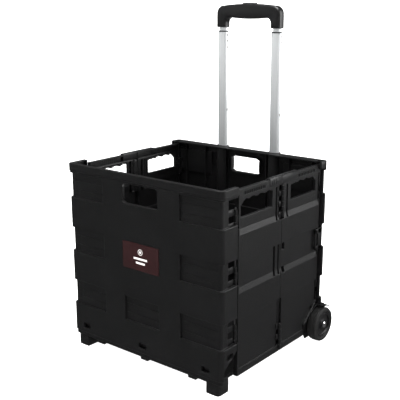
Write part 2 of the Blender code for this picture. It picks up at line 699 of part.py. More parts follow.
def rear_panel():
    plan = rounded([(-REAR_HALF, REAR_IN), (REAR_HALF, REAR_IN), (REAR_HALF, REAR_OUT),
                    (-REAR_HALF, REAR_OUT)], [0, 0, 0.008, 0.008])
    plate = prism(plan, "Z", REAR_LOW, CRATE_TOP)
    shelf = box(-SIDE_IN, SIDE_IN, REAR_HINGE_Y - 0.009, REAR_IN + 0.002,
                LOCK_TOP + 0.0012, CRATE_TOP)
    add = [shelf]
    cut = []
    sleeve_top = CRATE_TOP - BEZEL_SEAT
    for side in (-1, 1):
        section = [(side * x, y) for x, y in sleeve_section(SLEEVE_PLAY + SLEEVE_WALL)]
        bore = [(side * x, y) for x, y in sleeve_section(SLEEVE_PLAY)]
        seat = [(side * x, y) for x, y in sleeve_section(SLEEVE_PLAY + SLEEVE_WALL + GAP)]
        add.append(prism(section, "Z", SLEEVE_LOW, sleeve_top))
        cut.append(prism(bore, "Z", SLEEVE_LOW + 0.004, CRATE_TOP + REACH))
        cut.append(prism(seat, "Z", sleeve_top, CRATE_TOP + REACH))
        outer_in = side * TAB_IN
        outer = sorted((outer_in, side * REAR_HALF))
        add.append(box(*outer, REAR_HINGE_Y - 0.010, REAR_IN + 0.002, RIM_LOW, CRATE_TOP))
        tab = sorted((outer_in, side * (TAB_IN + TAB_T)))
        add.append(box(*tab, TAB_FRONT, REAR_IN + 0.002, *TAB_SPAN))
        slot = sorted((side * SIDE_OUT, side * (REAR_HALF + REACH)))
        cut.append(box(*slot, TAB_FRONT + 0.005, TAB_FRONT + 0.011, TAB_SPAN[0] + 0.008,
                       TAB_SPAN[1] - 0.011))
        rib = arc_band(WHEEL_Y, AXLE_Z, FENDER_R, FENDER_R + FENDER_RIB,
                       math.radians(52), math.radians(150), 16)
        add.append(prism(rib, "X", *sorted((outer_in, outer_in + side * FENDER_RIB_T))))
        plate_over = arc_band(WHEEL_Y, AXLE_Z, FENDER_R, FENDER_R + FENDER_T,
                              math.radians(60), math.radians(95), 8)
        fender_out = side * (HALF_W + FENDER_OUT)
        add.append(prism(plate_over, "X", *sorted((outer_in, fender_out))))
        corner = sorted((side * (CHEEK_IN - GAP), outer_in))
        cut.append(box(*corner, REAR_IN - REACH, REAR_OUT + REACH, 0, CHEEK_TOP + GAP))
        head = sorted((side * (CHEEK_IN - AXLE_HEAD_T - 2 * GAP), side * CHEEK_IN))
        cut.append(prism(circle(WHEEL_Y, AXLE_Z, AXLE_HEAD_R + 2 * GAP, 24), "X", *head))
        tip = sorted((side * SIDE_OUT, side * (REAR_HALF + REACH)))
        cut.append(prism(circle(WHEEL_Y, AXLE_Z, FENDER_R, 48), "X", *tip))
    for row in range(3):
        z0 = BRICK_LOW + row * BRICK_PITCH
        cut += [rear_recess(z0, z0 + BRICK_H, side) for side in (-1, 1)]
    for row in range(2):
        z0 = BRICK_LOW + row * BRICK_PITCH
        cut.append(box(-BRICK_HALF, BRICK_HALF, REAR_OUT - BRICK_DEEP, REAR_OUT + REACH,
                       z0, z0 + BRICK_H))
    cut.append(handle_hole(REAR_HANDLE_HALF, OPENING_LOW + 0.006, OPENING_TOP + 0.002,
                           REAR_IN - REACH, REAR_OUT + REACH))
    panel = solid(plate, add=add, cut=cut)
    lugs = []
    bores = []
    for side in (-1, 1):
        x = side * HINGE_X
        web = (side * -0.0037, side * 0.004)
        lugs += [knuckle(x, REAR_HINGE_Y, web, CORNER_ARM, *span)
                 for span in knuckle_spans(CORNER_GROUPS, 0)]
        bores.append(pin_bore(x, REAR_HINGE_Y, PIN_PLAY, CHEEK_TOP, SIDE_TOP))
        bores += [screw_bore(side, z) for z in SCREW_ZS]
    return solid(panel, add=lugs, cut=bores)


def mouth_bezel():
    outer = prism(sleeve_section(SLEEVE_PLAY + SLEEVE_WALL), "Z", CRATE_TOP - BEZEL_SEAT + GAP,
                  CRATE_TOP + 0.001)
    bore = prism(sleeve_section(SLEEVE_PLAY), "Z", CRATE_TOP - REACH, CRATE_TOP + REACH)
    return solid(outer, cut=[bore])


# ---- wheels --------------------------------------------------------------------------------------
SCREW_X = CHEEK_IN - 0.006
SCREW_ZS = (0.092, 0.110)
SCREW_R = 0.0016
CHEEK_OUT = WHEEL_IN - 0.0011
FLANGE_T = 0.003


def screw_bore(side, z):
    return prism(circle(side * SCREW_X, z, SCREW_R + GAP, 12), "Y", REAR_IN + 0.001, REAR_OUT + REACH)


def bracket_screw(z):
    shank = prism(circle(SCREW_X, z, SCREW_R, 12), "Y", REAR_IN + 0.0025,
                  REAR_OUT + GAP + FLANGE_T + 0.001)
    head = prism(circle(SCREW_X, z, 0.0034, 16), "Y", REAR_OUT + 2 * GAP + FLANGE_T,
                 REAR_OUT + FLANGE_T + 0.0026)
    slot = box(SCREW_X - 0.0005, SCREW_X + 0.0005, REAR_OUT + FLANGE_T + 0.0017,
               REAR_OUT + FLANGE_T + REACH, z - 0.002, z + 0.002)
    return solid(shank, add=[head], cut=[slot])


def wheel_bracket():
    """The cheek that holds the axle, a flange behind the rear panel and a ledge for the floor."""
    front = REAR_HINGE_Y - 0.006
    back = REAR_OUT + GAP + FLANGE_T
    low = FLOOR_MID_Z - FLOOR_T / 2 - GAP
    cheek = prism(rounded([(front, low - 0.004), (back, low - 0.004), (back, CHEEK_TOP),
                           (front, CHEEK_TOP)], [0.006, 0.012, 0, 0.004]),
                  "X", CHEEK_IN, CHEEK_OUT)
    disc = prism(circle(WHEEL_Y, AXLE_Z, BACKING_R, 48), "X", CHEEK_OUT - BACKING_T, CHEEK_OUT)
    beyond = [box(CHEEK_IN, WHEEL_IN, WHEEL_Y - 2 * BACKING_R, WHEEL_Y + 2 * BACKING_R, *span)
              for span in ((AXLE_Z - 2 * BACKING_R, BACKING_LOW), (CHEEK_TOP, CHEEK_TOP + BACKING_R))]
    beyond.append(box(CHEEK_IN, WHEEL_IN, back, back + BACKING_R, 0, CHEEK_TOP))
    backing = solid(disc, cut=beyond)
    ledge = box(CHEEK_IN - 0.013, CHEEK_IN + 0.002, front + 0.006, back - 0.013, low - 0.004, low)
    flange = box(SCREW_X - 0.009, CHEEK_OUT, REAR_OUT + GAP, back, 0.060, SCREW_ZS[-1] + 0.008)
    hole = prism(circle(WHEEL_Y, AXLE_Z, AXLE_R + GAP, 20), "X", CHEEK_IN - REACH, CHEEK_OUT + REACH)
    screws = [prism(circle(SCREW_X, z, SCREW_R + GAP, 12), "Y", REAR_OUT - 0.002, back + 0.002)
              for z in SCREW_ZS]
    return solid(cheek, add=[ledge, flange, backing], cut=[hole] + screws)


def stub_axle():
    end = WHEEL_OUT - 0.0005
    head = CHEEK_IN - AXLE_HEAD_T
    return turned([(head, 0.0), (head, AXLE_HEAD_R), (CHEEK_IN - GAP, AXLE_HEAD_R),
                   (CHEEK_IN - GAP, AXLE_R), (end, AXLE_R), (end, 0.0)], (WHEEL_Y, AXLE_Z), 20)


def axle_cap():
    base = WHEEL_OUT - 0.0005 + GAP
    dome = [(base + 0.0038 * math.sin(a), 0.0075 * math.cos(a))
            for a in [math.pi / 2 * i / 5 for i in range(5)]]
    return turned([(base, 0.0)] + dome + [(base + 0.0038, 0.0)], (WHEEL_Y, AXLE_Z), 24)


def tyre():
    edge = 0.003
    inner = HUB_R + GAP
    return turned([(WHEEL_IN, inner), (WHEEL_IN, WHEEL_R - edge), (WHEEL_IN + 0.001, WHEEL_R - 0.001),
                   (WHEEL_IN + edge, WHEEL_R), (WHEEL_OUT - 0.0075, WHEEL_R),
                   (WHEEL_OUT - 0.007, WHEEL_R - 0.0012), (WHEEL_OUT - 0.0058, WHEEL_R - 0.0012),
                   (WHEEL_OUT - 0.0053, WHEEL_R), (WHEEL_OUT - edge, WHEEL_R),
                   (WHEEL_OUT - 0.001, WHEEL_R - 0.001), (WHEEL_OUT, WHEEL_R - edge),
                   (WHEEL_OUT, inner)], (WHEEL_Y, AXLE_Z), 36)


def wheel_hub():
    bore = AXLE_R + GAP
    out = WHEEL_OUT - 0.0012
    return turned([(WHEEL_IN + 0.001, bore), (WHEEL_IN + 0.001, 0.012), (WHEEL_IN + 0.006, 0.013),
                   (WHEEL_IN + 0.006, 0.023), (WHEEL_IN + 0.001, 0.024), (WHEEL_IN + 0.001, HUB_R),
                   (out, HUB_R), (out, 0.0255), (out - 0.0035, 0.024), (out - 0.0035, 0.012),
                   (out - 0.0005, 0.011), (out - 0.0005, bore)], (WHEEL_Y, AXLE_Z), 24)


# ---- handle --------------------------------------------------------------------------------------
def tube(width, depth, radius, wall, low, high, holes=()):
    outer = prism(oval(TUBE_X, TUBE_Y, width, depth, radius), "Z", low, high)
    bore = prism(oval(TUBE_X, TUBE_Y, width - 2 * wall, depth - 2 * wall, radius - wall), "Z",
                 low - REACH, high + REACH)
    drills = [prism(circle(TUBE_Y, z, 0.0024, 14), "X", TUBE_X, TUBE_X + width) for z in holes]
    return solid(outer, cut=[bore] + drills)


def lower_tube(holes):
    return tube(TUBE_W, TUBE_D, 0.0062, TUBE_WALL, TUBE_TOP - TUBE_LEN, TUBE_TOP, holes)


def ring(width, depth, radius, hole_width, hole_depth, low, high):
    outer = prism(oval(TUBE_X, TUBE_Y, width, depth, radius), "Z", low, high)
    hole = prism(oval(TUBE_X, TUBE_Y, hole_width, hole_depth, 0.44 * hole_depth), "Z",
                 low - REACH, high + REACH)
    return solid(outer, cut=[hole])


def grip():
    top = GRIP_LOW + GRIP_H
    under = GRIP_LOW + GRIP_UNDER
    inner = GRIP_HALF - GRIP_LEG
    count = 8
    crown = [(GRIP_HALF - 0.020 - (2 * GRIP_HALF - 0.040) * i / count,
              top + GRIP_CROWN * (1 - (2 * i / count - 1) ** 2)) for i in range(count + 1)]
    shoulder = GRIP_SHOULDER
    outline = [(inner, GRIP_LOW), (GRIP_HALF, GRIP_LOW)]
    outline += [(GRIP_HALF - shoulder + shoulder * math.cos(a), top - shoulder + shoulder * math.sin(a))
                for a in [math.pi / 2 * i / 6 for i in range(6)]]
    outline += crown
    outline += [(-GRIP_HALF + shoulder - shoulder * math.cos(a), top - shoulder + shoulder * math.sin(a))
                for a in [math.pi / 2 * (6 - i) / 6 for i in range(1, 7)]]
    outline += [(-GRIP_HALF, GRIP_LOW), (-inner, GRIP_LOW)]
    fillet = GRIP_FILLET
    quarter = [math.pi / 2 * i / 3 for i in range(4)]
    outline += [(-inner + fillet - fillet * math.cos(a), under - fillet + fillet * math.sin(a))
                for a in quarter]
    bow = inner - fillet
    outline += [(-bow + 2 * bow * i / count, under - GRIP_BOW * (1 - (2 * i / count - 1) ** 2))
                for i in range(1, count)]
    outline += [(inner - fillet + fillet * math.cos(a), under - fillet + fillet * math.sin(a))
                for a in reversed(quarter)]
    bar = softened(prism(outline, "Y", TUBE_Y - GRIP_D / 2, TUBE_Y + GRIP_D / 2), 0.0035, 2, 60)
    cut = [prism([(side * x, y) for x, y in oval(TUBE_X, TUBE_Y, INNER_W + 2 * GAP, INNER_D + 2 * GAP,
                                                0.0045)],
                 "Z", GRIP_LOW - REACH, GRIP_LOW + GRIP_SOCKET) for side in (-1, 1)]
    cut.append(prism(oval(0, TUBE_Y, 2 * BUTTON_HALF + 2 * GAP, BUTTON_D + 2 * GAP, 0.004), "Z",
                     top - BUTTON_WELL, top + REACH))
    return solid(bar, cut=cut)


def release_button():
    top = GRIP_LOW + GRIP_H + GRIP_CROWN + BUTTON_PROUD
    low = GRIP_LOW + GRIP_H - BUTTON_WELL + BUTTON_TRAVEL + 0.001
    base = prism(oval(0, TUBE_Y, 2 * BUTTON_HALF, BUTTON_D, 0.004), "Z", low, top)
    well = prism(circle(0, TUBE_Y, 0.0042, 16), "Z", low - REACH, low + SPRING_WELL)
    return solid(base, cut=[well])


def button_spring():
    """A coil between the grip's pocket and the button's well."""
    low = GRIP_LOW + GRIP_H - BUTTON_WELL + GAP
    high = low + BUTTON_TRAVEL + 0.001 + SPRING_WELL - 2 * GAP
    wire = 0.0004
    turns = 4
    per_turn = 10
    sides = 5
    bm = bmesh.new()
    count = turns * per_turn
    rings = []
    for i in range(count + 1):
        angle = 2 * math.pi * i / per_turn
        out = Vector((math.cos(angle), math.sin(angle), 0))
        centre = Vector((0, TUBE_Y, low + wire + (high - low - 2 * wire) * i / count)) + 0.003 * out
        rings.append([bm.verts.new(centre + wire * (math.cos(t) * out + Vector((0, 0, math.sin(t)))))
                      for t in [2 * math.pi * s / sides for s in range(sides)]])
    for i in range(count):
        for s in range(sides):
            bm.faces.new((rings[i][s - 1], rings[i][s], rings[i + 1][s], rings[i + 1][s - 1]))
    bm.faces.new(rings[0])
    bm.faces.new(rings[-1])
    return mesh_from(bm)


def pull_rod():
    return prism(circle(TUBE_X, TUBE_Y, 0.0013, 10), "Z", INNER_LOW + 0.004, GRIP_LOW + 0.020)


# ---- assembly ------------------------------------------------------------------------------------
def bodies():
    body("trolley", (0, 0, 0))
    for side, sign in (("right", 1), ("left", -1)):
        body(f"side_rear_body_{side}", (sign * HINGE_X, REAR_HINGE_Y, 0), "trolley")
        body(f"side_front_body_{side}", (sign * MID_HINGE_X, MID_HINGE_Y, 0), f"side_rear_body_{side}")
        body(f"side_lock_body_{side}", (sign * SIDE_OUT, MID_HINGE_Y, LOCK_TOP),
             f"side_rear_body_{side}")
        body(f"wheel_body_{side}", (sign * WHEEL_IN, WHEEL_Y, AXLE_Z), "trolley")
    body("front_body", (HINGE_X, FRONT_HINGE_Y, 0), "side_front_body_right")
    body("floor_body", (0, FLOOR_HINGE_Y, FLOOR_MID_Z), "front_body")
    body("handle_lower_body", (0, TUBE_Y, TUBE_TOP), "trolley")
    body("handle_upper_body", (0, TUBE_Y, GRIP_LOW), "handle_lower_body")
    body("button_body", (0, TUBE_Y, GRIP_LOW + GRIP_H), "handle_upper_body")


def build():
    for stale in list(bpy.data.objects):
        bpy.data.objects.remove(stale)
    bodies()
    node("rear_panel", rear_panel(), "trolley", BLACK)
    both_sides("tube_mouth_bezel", mouth_bezel(), "trolley", BLACK)
    both_sides("wheel_bracket", wheel_bracket(), "trolley", BLACK)
    for number, z in enumerate(SCREW_ZS, 1):
        both_sides(f"bracket_screw_{number}", bracket_screw(z), "trolley", STEEL)
    both_sides("stub_axle", stub_axle(), "trolley", STEEL)
    both_sides("axle_cap", axle_cap(), "trolley", CHROME)
    corner_low = CORNER_GROUPS[0][0] - 0.003
    corner_high = CORNER_GROUPS[-1][0] + CORNER_GROUPS[-1][1] * CORNER_GROUPS[-1][2] + 0.003
    both_sides("rear_hinge_pin", hinge_pin(HINGE_X, REAR_HINGE_Y, corner_low, corner_high),
               "trolley", STEEL)
    both_sides("tyre", tyre(), "wheel_body", RUBBER)
    both_sides("wheel_hub", wheel_hub(), "wheel_body", BLACK)
    both_sides("side_rear", side_rear(), "side_rear_body", BLACK)
    for number, (low, step, count) in enumerate(MID_GROUPS, 1):
        pin = hinge_pin(MID_HINGE_X, MID_HINGE_Y, low + 0.001, low + count * step - 0.001)
        both_sides(f"mid_hinge_pin_{number}", pin, "side_rear_body", STEEL)
    both_sides("side_lock", side_lock(), "side_lock_body", BLACK)
    both_sides("side_front", side_front(), "side_front_body", BLACK)
    both_sides("front_hinge_pin", hinge_pin(HINGE_X, FRONT_HINGE_Y, corner_low, corner_high),
               "side_front_body", STEEL)
    node("front_panel", front_panel(), "front_body", BLACK)
    node("label_plate", label_block(0, 0), "front_body", MAROON)
    both_sides("front_foot", front_foot(), "front_body", BLACK)
    node("floor_panel", floor_panel(), "floor_body", BLACK)
    floor_pin = prism(circle(FLOOR_HINGE_Y, FLOOR_MID_Z, PIN_R, 10), "X", -FLOOR_PIN_HALF,
                      FLOOR_PIN_HALF)
    node("floor_hinge_pin", floor_pin, "front_body", STEEL)
    right_holes = (TUBE_TOP - 0.007, TUBE_TOP - 0.020, TUBE_TOP - 0.035, TUBE_TOP - 0.180)
    lower = lower_tube(right_holes)
    both_sides("lower_tube", lower, "handle_lower_body", ALUMINIUM)
    both_sides("tube_collar", ring(TUBE_W + 0.001, TUBE_D + 0.001, 0.0065, INNER_W + 0.0008,
                                   INNER_D + 0.0008, TUBE_TOP + GAP, TUBE_TOP + COLLAR_H),
               "handle_lower_body", BLACK)
    both_sides("lower_glide", ring(TUBE_W, TUBE_D, 0.0062, INNER_W + 0.0008, INNER_D + 0.0008,
                                   TUBE_TOP - TUBE_LEN - 0.005, TUBE_TOP - TUBE_LEN - GAP),
               "handle_lower_body", BLACK)
    both_sides("upper_tube", tube(INNER_W, INNER_D, 0.0045, INNER_WALL, INNER_LOW,
                                  INNER_LOW + INNER_LEN),
               "handle_upper_body", ALUMINIUM)
    both_sides("upper_glide", ring(TUBE_W - 2 * TUBE_WALL - 0.0008, TUBE_D - 2 * TUBE_WALL - 0.0008,
                                   0.0045, 0.004, 0.004, INNER_LOW - 0.006, INNER_LOW - GAP),
               "handle_upper_body", BLACK)
    both_sides("pull_rod", pull_rod(), "handle_upper_body", STEEL)
    node("grip", grip(), "handle_upper_body", BLACK)
    node("release_button", release_button(), "button_body", BLACK)
    node("button_spring", button_spring(), "button_body", STEEL)


build()
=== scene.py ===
"""A folding shopping trolley: black moulded panels, two wheels and a two-stage pull handle."""
import json
import math

import bmesh
import bpy
from mathutils import Matrix, Vector


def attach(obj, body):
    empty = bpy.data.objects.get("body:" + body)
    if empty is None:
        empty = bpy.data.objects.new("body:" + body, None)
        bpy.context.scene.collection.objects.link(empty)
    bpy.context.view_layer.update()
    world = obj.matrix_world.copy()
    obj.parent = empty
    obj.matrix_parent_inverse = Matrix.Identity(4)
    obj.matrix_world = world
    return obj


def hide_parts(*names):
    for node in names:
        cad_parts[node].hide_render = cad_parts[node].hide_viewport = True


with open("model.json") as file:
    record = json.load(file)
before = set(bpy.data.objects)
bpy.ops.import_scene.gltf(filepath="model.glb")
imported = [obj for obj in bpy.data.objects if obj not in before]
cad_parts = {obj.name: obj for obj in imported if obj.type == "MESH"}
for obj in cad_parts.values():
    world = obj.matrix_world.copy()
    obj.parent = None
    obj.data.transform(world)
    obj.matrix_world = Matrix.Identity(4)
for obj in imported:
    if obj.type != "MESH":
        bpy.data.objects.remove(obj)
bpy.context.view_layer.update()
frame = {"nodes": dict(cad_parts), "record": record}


# ---- Floor, light and camera -------------------------------------------------------------------
# A glowing white studio cylinder, open on top, with an overhead softbox, a weak panel on the left
# and a broad one behind on the right, and a camera in front of the trolley's right-hand corner.
class Wire:
    """A shader socket that takes part in arithmetic."""

    def __init__(self, surface, socket):
        self.surface = surface
        self.socket = socket

    def math(self, operation, *others):
        settings = {"operation": operation}
        return self.surface.node("ShaderNodeMath", settings, {i: v for i, v in enumerate((self, *others))})

    def __add__(self, other):
        return self.math("ADD", other)

    def __radd__(self, other):
        return self.math("ADD", other)

    def __rmul__(self, other):
        return self.math("MULTIPLY", other)


class Surface:
    """A material with one Principled shader and the nodes that feed it."""

    def __init__(self, name, sockets):
        self.material = bpy.data.materials.new(name)
        self.material.use_nodes = True
        self.tree = self.material.node_tree
        self.shader = self.tree.nodes["Principled BSDF"]
        self.place = self.node("ShaderNodeTexCoord", {}, {}, "Object")
        for socket, value in sockets.items():
            self.feed(self.shader.inputs[socket], value)

    def feed(self, socket, value):
        if isinstance(value, Wire):
            self.tree.links.new(value.socket, socket)
        elif isinstance(value, (tuple, list)) and len(value) == 3 and socket.type == "RGBA":
            socket.default_value = (*value, 1.0)
        else:
            socket.default_value = value

    def node(self, kind, settings, sockets, output=0):
        made = self.tree.nodes.new(kind)
        for name, value in settings.items():
            setattr(made, name, value)
        for name, value in sockets.items():
            self.feed(made.inputs[name], value)
        return Wire(self, made.outputs[output])

    def noise(self, scale, detail=2.0, stretch=(1, 1, 1)):
        place = self.place
        if stretch != (1, 1, 1):
            place = self.node("ShaderNodeMapping", {}, {"Vector": place, "Scale": stretch})
        return self.node("ShaderNodeTexNoise", {}, {"Vector": place, "Scale": scale, "Detail": detail})

    def shades(self, mask, dark, light):
        return self.node("ShaderNodeMix", {"data_type": "RGBA"},
                         {0: mask, 6: (*dark, 1.0), 7: (*light, 1.0)}, 2)

    def bump(self, height, strength, distance):
        normal = self.node("ShaderNodeBump", {},
                           {"Height": height, "Strength": strength, "Distance": distance})
        self.feed(self.shader.inputs["Normal"], normal)


def piece(name, bm, look, body, *nodes, slot=None, smooth=30):
    """Makes a mesh into a piece that rides on a body and stands for CAD nodes; smooth 0 is flat."""
    mesh = bpy.data.meshes.new(name)
    for face in bm.faces:
        face.smooth = smooth > 0
    bm.to_mesh(mesh)
    bm.free()
    if smooth:
        mesh.set_sharp_from_angle(angle=math.radians(smooth))
    made = bpy.data.objects.new(name, mesh)
    made.data.materials.append(look.material)
    bpy.context.scene.collection.objects.link(made)
    if body:
        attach(made, body)
    if nodes:
        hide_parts(*nodes)
    return made


def area_light(name, place, target, size, power):
    lamp = bpy.data.lights.new(name, "AREA")
    lamp.shape = "RECTANGLE"
    lamp.size, lamp.size_y = size
    lamp.energy = power
    made = bpy.data.objects.new(name, lamp)
    made.location = place
    made.rotation_euler = (Vector(target) - Vector(place)).to_track_quat("-Z", "Y").to_euler()
    bpy.context.scene.collection.objects.link(made)


sweep = Surface("white_floor", {"Base Color": (0.85, 0.85, 0.85), "Roughness": 1.0,
                                "Specular IOR Level": 0.0, "Emission Color": (1.0, 1.0, 1.0),
                                "Emission Strength": 0.95})
sweep_bm = bmesh.new()
bmesh.ops.create_cone(sweep_bm, cap_ends=True, segments=96, radius1=6.0, radius2=6.0, depth=5.0)
bmesh.ops.translate(sweep_bm, vec=(0, 0, 2.5), verts=sweep_bm.verts)
lid = [face for face in sweep_bm.faces if face.calc_center_median().z > 4.9]
bmesh.ops.delete(sweep_bm, geom=lid, context="FACES")
floor = piece("studio_floor", sweep_bm, sweep, None)
floor.visible_glossy = False

world = bpy.data.worlds.new("studio")
world.use_nodes = True
world.node_tree.nodes["Background"].inputs["Color"].default_value = (1.0, 1.0, 1.0, 1.0)
world.node_tree.nodes["Background"].inputs["Strength"].default_value = 0.10
bpy.context.scene.world = world
area_light("overhead_softbox", (0.2, -0.3, 2.4), (0, 0, 0.2), (1.5, 1.5), 80)
area_light("left_window", (-2.2, -1.6, 1.3), (0, -0.1, 0.3), (1.6, 1.2), 4)
area_light("right_fill", (2.2, 1.5, 1.1), (0.1, 0, 0.3), (2.0, 1.6), 60)
bpy.context.scene.view_settings.view_transform = "Standard"

eye = bpy.data.cameras.new("camera")
eye.lens = 68.4
eye.sensor_width = 36.0
eye.shift_x = -0.018
eye.shift_y = -0.019
camera = bpy.data.objects.new("camera", eye)
camera.location = (1.017, -1.257, 0.747)
gaze = Vector((0.0269, -0.014, 0.3504)) - camera.location
camera.rotation_euler = gaze.to_track_quat("-Z", "Y").to_euler()
bpy.context.scene.collection.objects.link(camera)
bpy.context.scene.camera = camera


# ---- Front panel -------------------------------------------------------------------------------
# One injection-moulded shell of fine-grained black polypropylene, 3 mm thick with turned-in edges.
# Brick-like recesses run round both corners, hinge knuckles stand at the returns' ends.
def grained_plastic(name, dark, light, roughness, grain, scale=620):
    """Black polypropylene with a spark-eroded grain and faint uneven gloss."""
    look = Surface(name, {"Specular IOR Level": 0.40})
    speckle = look.noise(scale, 2.0)
    patchy = 0.4 * look.noise(14, 3) + 0.6 * speckle
    look.feed(look.shader.inputs["Base Color"], look.shades(patchy, dark, light))
    look.feed(look.shader.inputs["Roughness"], roughness - 0.05 + 0.10 * look.noise(35, 2))
    look.bump(speckle, 0.6, grain)
    return look


crate_plastic = grained_plastic("crate_plastic", (0.0020, 0.0020, 0.0021), (0.0070, 0.0070, 0.0073),
                                0.34, 0.0009)

SIDES = (("right", 1), ("left", -1))
SHELL = 0.003
FACE_Y = -0.1975
FACE_X = 0.2085
CORNER = 0.010
RETURN_END = -0.1482
WINDOW_Y = -0.172
RECESS_DEEP = 0.0045
RECESS_H = 0.053
RECESSES = [0.0995 + 0.121 * row for row in range(3)]
RIM_LOW = 0.399
RIM_TOP = 0.415
BRICK_HALF = 0.0475
BRICK_SIDE = 0.105
EVERYWHERE = (-1.0, 1.0)
HINGE_X = 0.199
FRONT_HINGE_Y = -0.144
KNUCKLE_R = 0.0037
KNUCKLE_H = 0.0127
CORNER_GROUPS = (0.098, 0.218, 0.332)
CORNER_KNUCKLES = [(low + 0.013 * i, i) for low in CORNER_GROUPS for i in range(3)]


def moulded_skin(plan, heights):
    """Raises a plan line through a list of heights, one face per cell."""
    bm = bmesh.new()
    foot = [bm.verts.new((x, y, heights[0])) for x, y in plan]
    row = [bm.edges.new(pair) for pair in zip(foot, foot[1:])]
    for low, high in zip(heights, heights[1:]):
        run = bmesh.ops.extrude_edge_only(bm, edges=row)["geom"]
        raised = [item for item in run if isinstance(item, bmesh.types.BMVert)]
        row = [item for item in run if isinstance(item, bmesh.types.BMEdge)
               and item.verts[0] in raised and item.verts[1] in raised]
        bmesh.ops.translate(bm, vec=(0, 0, high - low), verts=raised)
    return bm


def face_outward(bm, outward):
    """Turns all faces the way the outward function points at their middles."""
    bmesh.ops.recalc_face_normals(bm, faces=bm.faces)
    bm.normal_update()
    lean = sum(face.normal.dot(outward(face.calc_center_median())) * face.calc_area() for face in bm.faces)
    if lean < 0:
        bmesh.ops.reverse_faces(bm, faces=bm.faces)
        bm.normal_update()


def cells(bm, x=EVERYWHERE, y=EVERYWHERE, z=EVERYWHERE):
    """The faces whose middles lie in a box; x counts on both sides when it is a span above zero."""
    found = []
    for face in bm.faces:
        middle = face.calc_center_median()
        across = abs(middle.x) if x[0] > 0 else middle.x
        if x[0] < across < x[1] and y[0] < middle.y < y[1] and z[0] < middle.z < z[1]:
            found.append(face)
    return found


def cut_away(bm, **spans):
    bmesh.ops.delete(bm, geom=cells(bm, **spans), context="FACES")


def press(bm, faces, depth):
    """Presses a region inwards with walls round it, except along the shell's open edges."""
    bm.normal_update()
    lean = {}
    for face in faces:
        for vert in face.verts:
            lean.setdefault(vert.co.to_tuple(6), []).append(face.normal.copy())
    run = bmesh.ops.extrude_face_region(bm, geom=faces)["geom"]
    moved = {item for item in run if isinstance(item, bmesh.types.BMVert)}
    bmesh.ops.delete(bm, geom=faces, context="FACES")
    for vert in moved:
        normals = lean[vert.co.to_tuple(6)]
        mean = sum(normals, Vector()).normalized()
        vert.co -= mean * depth / mean.dot(normals[0])
    open_walls = []
    for face in bm.faces:
        inside = [vert in moved for vert in face.verts]
        if any(inside) and not all(inside):
            still = [edge for edge in face.edges if not any(vert in moved for vert in edge.verts)]
            if still and still[0].is_boundary:
                open_walls.append(face)
    bmesh.ops.delete(bm, geom=open_walls, context="FACES")
    bm.normal_update()
    return moved


def round_opening(bm, half, low, high, radius, y):
    """Cuts an opening with rounded corners through the flat of a panel."""
    def beyond(vert_or_middle):
        across = max(abs(vert_or_middle.x) - (half - radius), 0)
        up = max(low + radius - vert_or_middle.z, vert_or_middle.z - (high - radius), 0)
        return across, up

    inside = []
    for face in cells(bm, x=(-half, half), y=y, z=(low, high)):
        if math.hypot(*beyond(face.calc_center_median())) < radius:
            inside.append(face)
    bmesh.ops.delete(bm, geom=inside, context="FACES")
    for vert in bm.verts:
        across, up = beyond(vert.co)
        near = abs(vert.co.x) < half + 0.0001 and low - 0.0001 < vert.co.z < high + 0.0001
        if vert.is_boundary and near and y[0] < vert.co.y < y[1] and across > 0 and up > 0:
            scale = radius / math.hypot(across, up)
            vert.co.x += math.copysign(across * (scale - 1), vert.co.x)
            vert.co.z += up * (scale - 1) * (1 if vert.co.z > (low + high) / 2 else -1)


def turn_in(bm, inner_place):
    """Carries every open edge inwards to the panel's inner plane."""
    rims = [edge for edge in bm.edges if edge.is_boundary]
    run = bmesh.ops.extrude_edge_only(bm, edges=rims)["geom"]
    for vert in [item for item in run if isinstance(item, bmesh.types.BMVert)]:
        vert.co = inner_place(vert.co)


def add_block(bm, x, y, z, edge=0.0005):
    """A block with rounded edges between three spans, as a shell of its own."""
    size = Vector((x[1] - x[0], y[1] - y[0], z[1] - z[0]))
    middle = Vector((x[0] + x[1], y[0] + y[1], z[0] + z[1])) / 2
    made = bmesh.ops.create_cube(bm, size=1.0)["verts"]
    bmesh.ops.scale(bm, vec=size, verts=made)
    bmesh.ops.translate(bm, vec=middle, verts=made)
    if edge:
        edges = {item for vert in made for item in vert.link_edges}
        bmesh.ops.bevel(bm, geom=list(edges), offset=edge, segments=2, affect="EDGES", profile=0.5,
                        material=-1)


def add_barrel(bm, x, y, z, radius=KNUCKLE_R, sides=20):
    """A hinge knuckle: an upright cylinder with slightly rounded ends."""
    made = bmesh.ops.create_cone(bm, cap_ends=True, segments=sides, radius1=radius, radius2=radius,
                                 depth=z[1] - z[0])["verts"]
    bmesh.ops.translate(bm, vec=(x, y, (z[0] + z[1]) / 2), verts=made)
    ends = {edge for vert in made for edge in vert.link_edges
            if edge.verts[0].co.z == edge.verts[1].co.z}
    bmesh.ops.bevel(bm, geom=list(ends), offset=0.0004, segments=1, affect="EDGES", profile=0.5,
                    material=-1)


def finish_shell(made, thickness=SHELL, width=0.0011):
    """Gives a skin its thickness and softly broken edges."""
    wall = made.modifiers.new("wall", "SOLIDIFY")
    wall.thickness = thickness
    wall.offset = -1.0
    edges = made.modifiers.new("edges", "BEVEL")
    edges.width = width
    edges.segments = 2
    edges.angle_limit = math.radians(35)
    edges.use_clamp_overlap = False


def both_ways(values):
    """A list of distances and their mirror images, in order."""
    return sorted({value for one in values for value in (one, -one)})


def corner_arc(centre_x, centre_y, radius, towards_y, steps=14):
    """The corner of a plan line, from its end face (+x) round to its broad face."""
    angles = [math.pi / 2 * i / steps for i in range(steps + 1)]
    return [(centre_x + radius * math.cos(a), centre_y + towards_y * radius * math.sin(a)) for a in angles]


